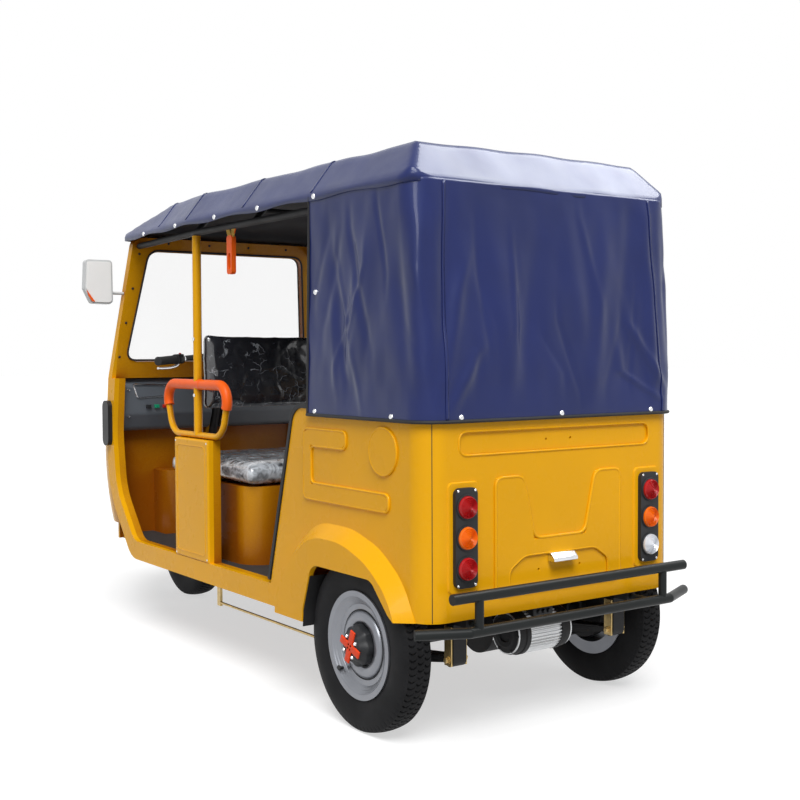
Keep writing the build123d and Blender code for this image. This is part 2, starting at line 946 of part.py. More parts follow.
def roof_block(inset):
    drop = inset * 1.2
    with BuildPart() as piece:
        add(
            side_slab(
                [
                    (roof_rear_eaves + inset, eaves_height),
                    (roof_rear_ridge + inset, ridge_height - drop),
                    (roof_brow - inset, ridge_height - brow_drop - drop),
                    (roof_front - inset, header_height + 2 * canvas - drop / 2),
                    (roof_front - inset, eaves_height),
                ],
                roof_side_radii,
                -roof_half - wall,
                roof_half + wall,
            )
        )
        with BuildSketch(cross_plane(2 * rear_face)):
            with BuildLine():
                FilletPolyline(
                    (roof_half - inset, eaves_height),
                    (roof_half - inset, eaves_height + 2 * canvas),
                    (ridge_half - inset / 2, ridge_height - crown_drop - drop),
                    (0, ridge_height - drop),
                    (-ridge_half + inset / 2, ridge_height - crown_drop - drop),
                    (-roof_half + inset, eaves_height + 2 * canvas),
                    (-roof_half + inset, eaves_height),
                    radius=roof_cross_radii,
                    close=True,
                )
            make_face()
        extrude(amount=2 * nose_station, mode=Mode.INTERSECT)
        with BuildSketch(plan_plane(eaves_height)):
            with BuildLine():
                FilletPolyline(
                    (roof_rear_eaves + inset, -roof_half + inset),
                    (pole_station, -roof_half + inset),
                    (roof_front - inset, -roof_front_half + inset),
                    (roof_front - inset, roof_front_half - inset),
                    (pole_station, roof_half - inset),
                    (roof_rear_eaves + inset, roof_half - inset),
                    radius=[roof_corner, 0, 5 * canvas, 5 * canvas, 0, roof_corner],
                    close=True,
                )
            make_face()
        extrude(amount=ridge_height, mode=Mode.INTERSECT)
    return piece.part


with BuildPart() as canopy_roof:
    add(roof_block(0))
    add(roof_block(canvas), mode=Mode.SUBTRACT)
write(canopy_roof, "canopy_roof")

# Canvas curtain round the sides and the back, leaning in towards the eaves
hem_half = body_half + seat_gap + canvas
hem_slack = 2.0
hem_rear = rear_face - hem_slack - canvas
curtain_levels = [
    (hem_height, hem_half, hem_rear, curtain_front_hem, corner_radius + canvas),
    (eaves_height, roof_half, roof_rear_eaves, curtain_front_eaves, roof_corner),
]


def curtain_face(level, inset, forward):
    height, half, rear, front, corner = level
    with BuildSketch(plan_plane(height)) as face:
        with BuildLine():
            FilletPolyline(
                (rear + inset, -half + inset),
                (front + forward, -half + inset),
                (front + forward, half - inset),
                (rear + inset, half - inset),
                radius=[corner - inset, 0, 0, corner - inset],
                close=True,
            )
        make_face()
    return face.sketch


with BuildPart() as canopy_curtain:
    loft([curtain_face(level, 0, 0) for level in curtain_levels], ruled=True)
    loft([curtain_face(level, canvas, wall) for level in curtain_levels], ruled=True, mode=Mode.SUBTRACT)
write(canopy_curtain, "canopy_curtain")

# Doorway guards: box panel on the sill, hoop and pole above it
hoop_plane_y = frame_half
hoop_low = guard_top + hoop_radius
hoop_corners = [
    (hoop_station - hoop_low_half, hoop_low),
    (hoop_station + hoop_low_half, hoop_low),
    (hoop_station + hoop_top_half, hoop_top),
    (hoop_station - hoop_top_half, hoop_top),
]
hoop_bends = [85, 85, 62, 62]

with BuildPart() as side_hoop_left:
    with BuildLine(side_plane(hoop_plane_y)) as hoop_path:
        FilletPolyline(*hoop_corners, radius=hoop_bends, close=True)
    hoop_wire = hoop_path.wires()[0]
    with BuildSketch(Plane(hoop_wire @ 0, z_dir=hoop_wire % 0)):
        Circle(hoop_radius)
    sweep(path=hoop_wire)
    add(
        rod(
            point(pole_station, hoop_plane_y, hoop_low),
            point(pole_station, hoop_plane_y, rail_level - frame_radius - seat_gap),
            pole_radius,
        )
    )
write(side_hoop_left, "side_hoop_left")

with BuildPart() as side_hoop_right:
    mirror(side_hoop_left.part, about=Plane.XZ)
write(side_hoop_right, "side_hoop_right")

with BuildPart() as guard_panel_left:
    with BuildSketch(side_plane(guard_face)):
        with Locations((guard_station, (sill_top + guard_top) / 2)):
            Rectangle(guard_width, guard_top - sill_top)
    extrude(amount=guard_depth)
    outer_edges = guard_panel_left.faces().sort_by(Axis.Y)[-1].edges()
    fillet(outer_edges, guard_edge)
write(guard_panel_left, "guard_panel_left")

with BuildPart() as guard_panel_right:
    mirror(guard_panel_left.part, about=Plane.XZ)
write(guard_panel_right, "guard_panel_right")

# Grip sleeves over the top of each hoop, slotted for the pole
grip_drop = 0.44 * (hoop_top - hoop_low)
grip_lean = grip_drop * (hoop_top_half - hoop_low_half) / (hoop_top - hoop_low)
with BuildPart() as hoop_grips:
    for side in (1, -1):
        with BuildLine(side_plane(side * hoop_plane_y)) as grip_path:
            FilletPolyline(
                (hoop_station - hoop_top_half + grip_lean, hoop_top - grip_drop),
                (hoop_station - hoop_top_half, hoop_top),
                (hoop_station + hoop_top_half, hoop_top),
                (hoop_station + hoop_top_half - grip_lean, hoop_top - grip_drop),
                radius=hoop_bends[2],
            )
        grip_wire = grip_path.wires()[0]
        with BuildSketch(Plane(grip_wire @ 0, z_dir=grip_wire % 0)):
            Circle(grip_sleeve)
            Circle(hoop_radius + seat_gap, mode=Mode.SUBTRACT)
        sweep(path=grip_wire)
        add(
            rod(
                point(pole_station, side * hoop_plane_y, hoop_low),
                point(pole_station, side * hoop_plane_y, hoop_top + 2 * grip_sleeve),
                pole_radius + seat_gap,
            ),
            mode=Mode.SUBTRACT,
        )
write(hoop_grips, "hoop_grips")


# Seats
def rounded_box(low, high, corner, edge):
    with BuildPart() as piece:
        with BuildSketch(plan_plane(low[2])):
            with Locations(((low[0] + high[0]) / 2, (low[1] + high[1]) / 2)):
                RectangleRounded(high[0] - low[0], high[1] - low[1], corner)
        extrude(amount=high[2] - low[2])
        if edge:
            fillet(piece.faces().sort_by(Axis.Z)[-1].edges(), edge)
    return piece.part


seat_low = (driver_seat_back, -driver_seat_half, mat_top)
seat_high = (driver_seat_front, driver_seat_half, driver_seat_height)
with BuildPart() as driver_seat_base:
    add(rounded_box(seat_low, seat_high, seat_corner, 0))
    add(
        rounded_box(
            (driver_seat_back + board, -driver_seat_half + board, mat_top - board),
            (driver_seat_front - board, driver_seat_half - board, driver_seat_height - board),
            seat_corner - board,
            0,
        ),
        mode=Mode.SUBTRACT,
    )
write(driver_seat_base, "driver_seat_base")

battery_margin = 60.0
battery_top = driver_seat_height - board - battery_margin
with BuildPart() as battery_pack:
    add(
        block(
            (driver_seat_back + battery_margin, -driver_seat_half + battery_margin, mat_top),
            (driver_seat_front - battery_margin, driver_seat_half - battery_margin, battery_top),
        )
    )
write(battery_pack, "battery_pack")

with BuildPart() as driver_cushion:
    add(
        rounded_box(
            (driver_seat_back, -driver_seat_half, driver_seat_height),
            (driver_seat_front, driver_seat_half, driver_seat_height + cushion_height),
            seat_corner,
            seat_edge,
        )
    )
write(driver_cushion, "driver_cushion")

backrest_half = hoop_plane_y - grip_sleeve - wheel_gap
lug_radius = 8.0
lug_inset = 25.0
with BuildPart() as driver_backrest:
    with BuildSketch(cross_plane(pole_station - backrest_thickness / 2)):
        with Locations((0, (backrest_low + backrest_high) / 2)):
            RectangleRounded(2 * backrest_half, backrest_high - backrest_low, backrest_corner)
    extrude(amount=backrest_thickness)
    fillet(driver_backrest.faces().sort_by(Axis.X)[0].edges(), backrest_edge)
    fillet(driver_backrest.faces().sort_by(Axis.X)[-1].edges(), backrest_edge)
    for side in (1, -1):
        for lug_height in (hoop_top + 2 * grip_sleeve, backrest_high - 2 * lug_inset):
            add(
                rod(
                    point(pole_station, side * (backrest_half - lug_inset), lug_height),
                    point(pole_station, side * (hoop_plane_y - pole_radius - seat_gap), lug_height),
                    lug_radius,
                )
            )
write(driver_backrest, "driver_backrest")

bench_board = bench_height - board
with BuildPart() as bench_base:
    with BuildSketch(plan_plane(bench_board)):
        with BuildLine():
            FilletPolyline(
                (tub_inner_rear, -body_inner),
                (bench_front, -body_inner),
                (bench_front, body_inner),
                (tub_inner_rear, body_inner),
                radius=[corner_radius, 0, 0, corner_radius],
                close=True,
            )
        make_face()
    extrude(amount=board)
    add(block((bench_front - board, -body_inner, floor_height), (bench_front, body_inner, bench_height)))
    for side in (1, -1):
        notch_half = rail_width / 2 + seat_gap
        add(
            block(
                (bench_front - 2 * board, side * rail_half_spacing - notch_half, floor_height),
                (bench_front, side * rail_half_spacing + notch_half, floor_top),
            ),
            mode=Mode.SUBTRACT,
        )
write(bench_base, "bench_base")

bench_half = frame_half - frame_radius - wheel_gap
bench_rear = tub_inner_rear + seat_gap
with BuildPart() as bench_cushion:
    add(
        rounded_box(
            (bench_rear, -bench_half, bench_height),
            (bench_front + board, bench_half, bench_height + cushion_height),
            bench_corner,
            seat_edge,
        )
    )
write(bench_cushion, "bench_cushion")

with BuildPart() as bench_backrest:
    add(
        rounded_box(
            (bench_rear, -bench_half, bench_height + cushion_height),
            (bench_rear + bench_back_thickness, bench_half, bench_back_top),
            backrest_corner,
            seat_edge,
        )
    )
write(bench_backrest, "bench_backrest")

# Rear bumper: straight upper tube, lower tube with swept ends, posts and brackets
with BuildPart() as rear_bumper:
    for half, height in ((bumper_half, bumper_high), (bumper_bend_half, bumper_low)):
        tube_end = point(bumper_station, half, height)
        add(rod(point(bumper_station, -half, height), tube_end, bumper_radius))
    for side in (1, -1):
        bend = point(bumper_station, side * bumper_bend_half, bumper_low)
        add(rod(bend, point(bumper_tip_station, side * bumper_tip_half, bumper_low), bumper_radius))
        with Locations(bend):
            Sphere(bumper_radius)
        post_y = side * bumper_post_half
        post_top = point(bumper_station, post_y, bumper_high)
        add(rod(point(bumper_station, post_y, bumper_low), post_top, 0.85 * bumper_radius))
        arm_y = side * rail_half_spacing
        arm_end = point(tub_inner_rear, arm_y, bumper_low)
        add(rod(point(bumper_station, arm_y, bumper_low), arm_end, 0.6 * bumper_radius))
write(rear_bumper, "rear_bumper")

# Tail lamps
lamp_middle = (lamp_low + lamp_high) / 2
lamp_pitch = 91.0
lamp_face = rear_face - emboss
lens_seat = lamp_face - lamp_thickness
with BuildPart() as lamp_boards:
    with BuildSketch(cross_plane(lamp_face)):
        for side in (1, -1):
            with Locations((side * lamp_half_spacing, lamp_middle)):
                RectangleRounded(lamp_width, lamp_high - lamp_low, lamp_corner)
    extrude(amount=-lamp_thickness)
write(lamp_boards, "lamp_boards")

lens_places = {
    "red_lenses": [(1, 1), (1, -1), (-1, 1)],
    "amber_lenses": [(1, 0), (-1, 0)],
    "clear_lens": [(-1, -1)],
}
for lens_name, places in lens_places.items():
    with BuildPart() as lens:
        with BuildSketch(cross_plane(lens_seat)):
            for side, row in places:
                with Locations((side * lamp_half_spacing, lamp_middle + row * lamp_pitch)):
                    Circle(lens_radius)
        extrude(amount=-lens_height, taper=8)
    write(lens, lens_name)

plate_lamp_rise = 34.0
plate_lamp_width = 100.0
plate_lamp_height = 26.0
plate_lamp_depth = 34.0
with BuildPart() as plate_lamp:
    with BuildSketch(cross_plane(rear_face)):
        with Locations((0, plate_hole_height + plate_lamp_rise)):
            RectangleRounded(plate_lamp_width, plate_lamp_height, 0.3 * plate_lamp_height)
    extrude(amount=-plate_lamp_depth)
write(plate_lamp, "plate_lamp")

# Rear axle: tubes, gear housing, brake drums and wheel spindles
hub_inner = track / 2 - hub_length / 2
drum_outer = hub_inner - seat_gap
with BuildPart() as rear_axle:
    add(rod(point(0, -drum_outer, wheel_height), point(0, drum_outer, wheel_height), axle_tube_radius))
    housing_half = 0.7 * housing_radius
    add(rod(point(0, -housing_half, wheel_height), point(0, housing_half, wheel_height), housing_radius))
    for side in (1, -1):
        drum_face = point(0, side * drum_outer, wheel_height)
        add(rod(point(0, side * (drum_outer - drum_width), wheel_height), drum_face, drum_radius))
        spindle_end = point(0, side * (track / 2 + hub_length / 2 - seat_gap), wheel_height)
        add(rod(drum_face, spindle_end, spindle_radius))
write(rear_axle, "rear_axle")

# Drive motor on the back of the gear housing
motor_start = housing_half
with BuildPart() as drive_motor:
    add(
        rod(
            point(motor_station, motor_start - motor_length, wheel_height),
            point(motor_station, motor_start, wheel_height),
            motor_radius,
        )
    )
    add(
        block(
            (motor_station, -motor_start, wheel_height - motor_radius / 2),
            (0, motor_start, wheel_height + motor_radius / 2),
        )
    )
    add(
        rod(
            point(0, -2 * motor_start, wheel_height),
            point(0, 2 * motor_start, wheel_height),
            housing_radius + seat_gap,
        ),
        mode=Mode.SUBTRACT,
    )
write(drive_motor, "drive_motor")

# Leaf springs under the axle, with eyes and rear shackles
spring_seat = wheel_height - axle_tube_radius - seat_gap
shackle_top = rear_rail_bottom
with BuildPart() as leaf_springs:
    for side in (1, -1):
        spring_y = side * spring_half_spacing
        y_low = spring_y - spring_width / 2
        y_high = spring_y + spring_width / 2
        with BuildSketch(side_plane(y_high)):
            with BuildLine():
                Polyline(
                    (spring_front, eye_height - eye_radius / 3),
                    (spring_front, eye_height + eye_radius / 3),
                    (housing_radius, spring_seat),
                    (-housing_radius, spring_seat),
                    (spring_rear, eye_height + eye_radius / 3),
                    (spring_rear, eye_height - eye_radius / 3),
                    (-0.7 * housing_radius, spring_seat - spring_pack),
                    (0.7 * housing_radius, spring_seat - spring_pack),
                    close=True,
                )
            make_face()
            for station in (spring_front, spring_rear):
                with Locations((station, eye_height)):
                    Circle(eye_radius)
        extrude(amount=spring_width)
        add(
            block(
                (spring_rear - eye_radius, y_low, eye_height),
                (spring_rear + eye_radius, y_high, shackle_top),
            )
        )
write(leaf_springs, "leaf_springs")

# Brake pull rods and the levers that hang from the sills
brake_rod_radius = 5.0
lever_width = 26.0
lever_back = brake_lever_station - lever_width / 2
with BuildPart() as brake_linkage:
    for side in (1, -1):
        rod_y = side * brake_rod_half
        add(
            rod(
                point(0, rod_y, brake_rod_height),
                point(brake_lever_station, rod_y, brake_rod_height),
                brake_rod_radius,
            )
        )
        add(
            block(
                (lever_back, rod_y - brake_rod_radius, brake_rod_height - lever_width / 2),
                (lever_back + lever_width, rod_y + brake_rod_radius, floor_height),
            )
        )
    for side in (1, -1):
        add(
            rod(
                point(0, side * brake_rod_half * 0.9, wheel_height),
                point(0, side * brake_rod_half * 1.1, wheel_height),
                drum_radius + seat_gap,
            ),
            mode=Mode.SUBTRACT,
        )
    add(
        block(
            (full_members[1] - seat_gap, -sill_inner, floor_height - cross_member - seat_gap),
            (full_members[1] + cross_member + seat_gap, sill_inner, floor_height),
        ),
        mode=Mode.SUBTRACT,
    )
write(brake_linkage, "brake_linkage")

# Headlamps that stand out of the nose, with their lenses
pod_radius = 80.0
pod_height = 850.0
pod_half = 165.0
pod_depth = 130.0
pod_front = nose_station - 26.0
headlamp_radius = 0.88 * pod_radius
headlamp_lens = 18.0
with BuildPart() as headlamps:
    for side in (1, -1):
        pod_start = point(pod_front - pod_depth, side * pod_half, pod_height)
        pod_end = point(pod_front, side * pod_half, pod_height)
        add(rod(pod_start, pod_end, pod_radius))
    add(shell_block(-seat_gap), mode=Mode.SUBTRACT)
write(headlamps, "headlamps")

with BuildPart() as headlamp_lenses:
    with BuildSketch(cross_plane(pod_front)):
        for side in (1, -1):
            with Locations((side * pod_half, pod_height)):
                Circle(headlamp_radius)
    extrude(amount=headlamp_lens, taper=20)
write(headlamp_lenses, "headlamp_lenses")

# Marker pads on the outside of the front door posts
marker_width = 66.0
marker_length = 200.0
marker_thickness = 20.0
marker_middle = (waist_station - post_width / 2 - 3 * seat_gap, 875.0)
with BuildPart() as side_markers:
    for side in (1, -1):
        with BuildSketch(side_plane(side * (body_half + seat_gap + marker_thickness / 2))):
            with Locations(marker_middle):
                RectangleRounded(marker_width, marker_length, 0.45 * marker_width)
        extrude(amount=marker_thickness / 2, both=True)
write(side_markers, "side_markers")

# Mirrors on short arms from the windscreen pillars
mirror_depth = 32.0
mirror_glass_thickness = 4.0
mirror_border = 8.0
mirror_corner = 16.0
arm_radius = 7.0
arm_height = 1450.0
mirror_shape = [(18, 1410), (20, 1592), (141, 1592), (147, 1465), (115, 1402), (35, 1400)]
mirror_outline = [(body_half + reach, height) for reach, height in mirror_shape]
pillar_slope = (body_half - screen_top_half) / (header_height - cowl_height)
arm_start = body_half - pillar_slope * (arm_height - cowl_height) + pillar_slope * arm_radius + seat_gap
arm_station = screen_face(arm_height) - screen_depth / 2
mirror_station = arm_station - mirror_depth / 2


def mirror_face(station, side, inset):
    with BuildSketch(cross_plane(station)) as face:
        with BuildLine():
            FilletPolyline(*[(side * y, z) for y, z in mirror_outline], radius=mirror_corner, close=True)
        make_face()
        if inset:
            offset(amount=-inset)
    return face.sketch


with BuildPart() as mirrors:
    for side in (1, -1):
        extrude(mirror_face(mirror_station, side, 0), amount=mirror_depth)
        add(
            rod(
                point(arm_station, side * arm_start, arm_height),
                point(arm_station, side * (mirror_outline[0][0] + arm_radius), arm_height),
                arm_radius,
            )
        )
write(mirrors, "mirrors")

with BuildPart() as mirror_glasses:
    for side in (1, -1):
        extrude(mirror_face(mirror_station, side, mirror_border), amount=-mirror_glass_thickness)
write(mirror_glasses, "mirror_glasses")

# Grab straps that hang from the roof rails, each with a slotted handle
strap_station = 905.0
strap_spread = 26.0
strap_width = 20.0
strap_thickness = 4.0
handle_top = 1620.0
handle_bottom = 1477.0
handle_width = 40.0
handle_thickness = 18.0
strap_top = rail_level - frame_radius - seat_gap
with BuildPart() as grab_straps:
    for side in (1, -1):
        strap_y = side * frame_half
        for lean in (1, -1):
            strand = [
                (strap_station + lean * (strap_spread + strap_width / 2), strap_top),
                (strap_station + lean * (strap_spread - strap_width / 2), strap_top),
                (strap_station - lean * strap_width / 2, handle_top - strap_width),
                (strap_station + lean * strap_width / 2, handle_top - strap_width),
            ]
            add(side_slab(strand, [0] * 4, strap_y - strap_thickness / 2, strap_y + strap_thickness / 2))
        with BuildSketch(side_plane(strap_y + handle_thickness / 2)):
            with Locations((strap_station, (handle_top + handle_bottom) / 2)):
                RectangleRounded(handle_width, handle_top - handle_bottom, 0.3 * handle_width)
            with Locations((strap_station, handle_bottom + 1.2 * handle_width)):
                SlotOverall(1.5 * handle_width, 0.45 * handle_width, rotation=90, mode=Mode.SUBTRACT)
        extrude(amount=handle_thickness)
write(grab_straps, "grab_straps")

# Front fork: stem, crown, legs and axle
crown_plane = Plane(
    origin=steering_point(crown_low),
    x_dir=(0, 1, 0),
    z_dir=(-rake_x, 0, rake_z),
)
leg_forward = steering_offset * rake_z
leg_length = crown_low + steering_offset * rake_x
crown_width = leg_spacing + 2.6 * leg_radius
crown_behind = 1.3 * stem_radius
crown_corner = 12.0
crown_ahead = leg_forward + 1.2 * leg_radius
stem_end = bar_distance - 1.2 * head_radius
with BuildPart() as fork:
    with BuildSketch(crown_plane):
        with Locations((0, (crown_behind - crown_ahead) / 2)):
            RectangleRounded(crown_width, crown_behind + crown_ahead, crown_corner)
    extrude(amount=crown_height)
    add(rod(steering_point(crown_low), steering_point(stem_end), stem_radius))
    for side in (1, -1):
        foot = point(wheel_base, side * leg_spacing / 2, wheel_height)
        add(rod(foot, foot + Vector(-rake_x, 0, rake_z) * leg_length, leg_radius))
        with Locations(foot):
            Sphere(leg_radius)
    axle_half = leg_spacing / 2 + leg_radius + front_axle_radius
    axle_end = point(wheel_base, axle_half, wheel_height)
    add(rod(point(wheel_base, -axle_half, wheel_height), axle_end, front_axle_radius))
write(fork, "fork")

# Handlebar with swept ends and grips
bar_center = steering_point(bar_distance)
bar_rise = 12.0
bar_straight = 60.0
grip_end_station = 1735.0
grip_end_half = 418.0
grip_end_height = 1151.0
with BuildPart() as handlebar:
    add(rod(steering_point(stem_end), steering_point(bar_distance + stem_radius), 1.35 * stem_radius))
    for side in (1, -1):
        bend = bar_center + Vector(0, side * bar_straight, bar_rise)
        grip_end = point(grip_end_station, side * grip_end_half, grip_end_height)
        add(rod(bar_center, bend, bar_radius))
        with Locations(bend):
            Sphere(bar_radius)
        along = (grip_end - bend).normalized()
        add(rod(bend, grip_end, bar_radius))
        add(rod(grip_end - along * grip_length, grip_end, grip_radius))
write(handlebar, "handlebar")

# Front mudguard, hung from the crown
guard_back_angle = 165.0
guard_front_angle = 22.0
guard_outer = guard_radius + guard_thickness
reach = 2 * guard_outer


def guard_ray(angle):
    return (wheel_base + reach * cos(radians(angle)), wheel_height + reach * sin(radians(angle)))


with BuildPart() as front_mudguard:
    with BuildSketch(side_plane(guard_half_width)):
        with Locations((wheel_base, wheel_height)):
            Circle(guard_outer)
            Circle(guard_radius, mode=Mode.SUBTRACT)
        Polygon(
            (wheel_base, wheel_height),
            guard_ray(guard_front_angle),
            guard_ray((2 * guard_front_angle + guard_back_angle) / 3),
            guard_ray((guard_front_angle + 2 * guard_back_angle) / 3),
            guard_ray(guard_back_angle),
            mode=Mode.INTERSECT,
        )
    extrude(amount=2 * guard_half_width)
    hanger = Vector(-rake_x, 0, rake_z)
    wheel_center = point(wheel_base, 0, wheel_height)
    hanger_foot = wheel_center + hanger * (guard_radius + guard_thickness / 2)
    add(rod(hanger_foot, wheel_center + hanger * leg_length, stem_radius))
write(front_mudguard, "front_mudguard")
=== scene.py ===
from math import cos, hypot, pi, radians, sin

import bmesh
import bpy
import numpy as np
from mathutils import Matrix, Vector, noise


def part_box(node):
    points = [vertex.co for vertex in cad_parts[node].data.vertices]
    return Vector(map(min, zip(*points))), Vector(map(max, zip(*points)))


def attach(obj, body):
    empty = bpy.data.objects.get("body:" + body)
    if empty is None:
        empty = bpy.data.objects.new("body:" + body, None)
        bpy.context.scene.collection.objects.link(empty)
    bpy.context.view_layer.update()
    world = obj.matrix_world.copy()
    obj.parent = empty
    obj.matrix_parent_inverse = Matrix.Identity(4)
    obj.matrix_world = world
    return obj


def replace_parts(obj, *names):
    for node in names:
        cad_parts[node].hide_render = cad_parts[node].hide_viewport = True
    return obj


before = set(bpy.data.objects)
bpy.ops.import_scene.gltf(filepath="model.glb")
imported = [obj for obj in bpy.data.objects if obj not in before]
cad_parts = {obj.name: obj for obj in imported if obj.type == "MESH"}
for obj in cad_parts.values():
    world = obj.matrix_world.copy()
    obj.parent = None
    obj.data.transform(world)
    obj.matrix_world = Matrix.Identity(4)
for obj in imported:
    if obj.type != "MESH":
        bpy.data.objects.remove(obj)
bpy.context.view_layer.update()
axleX = -1.106  # the rear axle along the row's X, metres
sides = (1, -1)  # left, right
rearward = (-1, 0, 0)


def spot(station, y, height):  # stations run forward from the rear axle
    return Vector((axleX + station, y, height))


# camera
cameraView = {
    "place": (-4.201, 2.581, 1.182), "yaw": -35.5, "pitch": -2.24, "roll": -0.23,
    "lens": 54.0, "sensor": 36, "far": 200,
}


def setCamera():
    yaw, pitch, roll = (radians(cameraView[key]) for key in ("yaw", "pitch", "roll"))
    forward = Vector((cos(yaw) * cos(pitch), sin(yaw) * cos(pitch), sin(pitch)))
    right = forward.cross(Vector((0, 0, 1))).normalized()
    up = right.cross(forward)
    tiltedRight = right * cos(roll) + up * sin(roll)
    tiltedUp = up * cos(roll) - right * sin(roll)
    lens = bpy.data.cameras.new("viewCamera")
    lens.lens = cameraView["lens"]
    lens.sensor_width = cameraView["sensor"]
    lens.clip_end = cameraView["far"]
    holder = bpy.data.objects.new("viewCamera", lens)
    turn = Matrix((tiltedRight, tiltedUp, -forward)).transposed()
    holder.matrix_world = Matrix.Translation(cameraView["place"]) @ turn.to_4x4()
    bpy.context.scene.collection.objects.link(holder)
    bpy.context.scene.camera = holder


setCamera()
print("camera set")


# node tools
def linked(tree, kind, settings=None, sockets=None, links=None):
    made = tree.nodes.new(kind)
    for key, value in (settings or {}).items():
        setattr(made, key, value)
    for key, value in (sockets or {}).items():
        made.inputs[key].default_value = value
    for key, source in (links or {}).items():
        tree.links.new(source, made.inputs[key])
    return made


def mathOf(tree, operation, first, second=None):
    made = linked(tree, "ShaderNodeMath", {"operation": operation}, None, {0: first})
    if isinstance(second, float):
        made.inputs[1].default_value = second
    elif second is not None:
        tree.links.new(second, made.inputs[1])
    return made.outputs[0]


def noiseOf(tree, place, scale, detail):
    return linked(tree, "ShaderNodeTexNoise", None, {"Scale": scale, "Detail": detail}, {"Vector": place}).outputs[0]


def spanOf(tree, value, low, high, first=0.0, last=1.0):
    ends = {"From Min": low, "From Max": high, "To Min": first, "To Max": last}
    return linked(tree, "ShaderNodeMapRange", None, ends, {"Value": value}).outputs[0]


def toned(tree, color, tone, amount):
    return linked(tree, "ShaderNodeMix", {"data_type": "RGBA"}, {7: (*tone, 1)}, {0: amount, 6: color}).outputs[2]


# studio: soft daylight from behind and the left, over a pale floor
studio = {
    "worldFill": 0.28, "worldColor": (0.94, 0.97, 1.0, 1), "sunPower": 3.2, "sunSpread": 36,
    "sunFrom": (-0.66, 0.40, 1.05), "floorColor": 0.5, "floorRough": 0.9, "floorGloss": 0.1, "floorGlow": 0.58,
    "floorReach": 60,
    # place, aim, size, power; only gloss sees the gloss boxes
    "sidePanel": ((-3.2, 3.4, 2.4), (-0.3, 0.2, 0.9), 3.0, 5),
    "glossBoxes": [((-1.6, -2.6, 5.0), (-1.2, 0.0, 1.7), 2.6, 200), ((-4.0, 3.6, 3.4), (-0.2, 0.3, 1.0), 1.6, 50)],
}


def anyRay(tree):
    ray = tree.nodes.new("ShaderNodeLightPath")
    seen = mathOf(tree, "MAXIMUM", ray.outputs["Is Camera Ray"], ray.outputs["Is Glossy Ray"])
    return mathOf(tree, "MAXIMUM", seen, ray.outputs["Is Transmission Ray"])


def facing(direction):
    return Vector(direction).to_track_quat("Z", "Y").to_euler()


def areaLamp(name, place, aim, size, power):
    panel = bpy.data.lights.new(name, "AREA")
    panel.energy = power
    panel.size = size
    holder = bpy.data.objects.new(name, panel)
    holder.location = place
    holder.rotation_euler = facing(Vector(place) - Vector(aim))
    bpy.context.scene.collection.objects.link(holder)
    return holder


def setWorld():
    scene = bpy.context.scene
    scene.view_settings.view_transform = "Standard"
    world = bpy.data.worlds.new("studioWorld")
    scene.world = world
    world.use_nodes = True
    tree = world.node_tree
    fill = tree.nodes["Background"]
    fill.inputs["Color"].default_value = studio["worldColor"]
    fill.inputs["Strength"].default_value = studio["worldFill"]
    white = linked(tree, "ShaderNodeBackground", None, {"Color": (1, 1, 1, 1), "Strength": 1.0})
    mix = linked(tree, "ShaderNodeMixShader", None, None, {0: anyRay(tree), 1: fill.outputs[0], 2: white.outputs[0]})
    tree.links.new(mix.outputs[0], tree.nodes["World Output"].inputs["Surface"])


def setLights():
    sun = bpy.data.lights.new("softSun", "SUN")
    sun.energy = studio["sunPower"]
    sun.angle = radians(studio["sunSpread"])
    holder = bpy.data.objects.new("softSun", sun)
    holder.rotation_euler = facing(studio["sunFrom"])
    bpy.context.scene.collection.objects.link(holder)
    areaLamp("sidePanel", *studio["sidePanel"])
    for box in studio["glossBoxes"]:
        areaLamp("glossBox", *box).visible_diffuse = False


def setFloor():
    reach, tone = studio["floorReach"], studio["floorColor"]
    mesh = bpy.data.meshes.new("studioFloor")
    corners = [(-reach, -reach, 0), (reach, -reach, 0), (reach, reach, 0), (-reach, reach, 0)]
    mesh.from_pydata(corners, [], [(0, 1, 2, 3)])
    ground = bpy.data.objects.new("studioFloor", mesh)
    bpy.context.scene.collection.objects.link(ground)
    material = bpy.data.materials.new("paleFloor")
    material.use_nodes = True
    tree = material.node_tree
    shader = tree.nodes["Principled BSDF"]
    shader.inputs["Base Color"].default_value = (tone, tone, tone, 1)
    shader.inputs["Roughness"].default_value = studio["floorRough"]
    shader.inputs["Specular IOR Level"].default_value = studio["floorGloss"]
    shader.inputs["Emission Color"].default_value = (1, 1, 1, 1)
    tree.links.new(mathOf(tree, "MULTIPLY", anyRay(tree), studio["floorGlow"]), shader.inputs["Emission Strength"])
    mesh.materials.append(material)


setWorld()
setLights()
setFloor()
print("studio set")


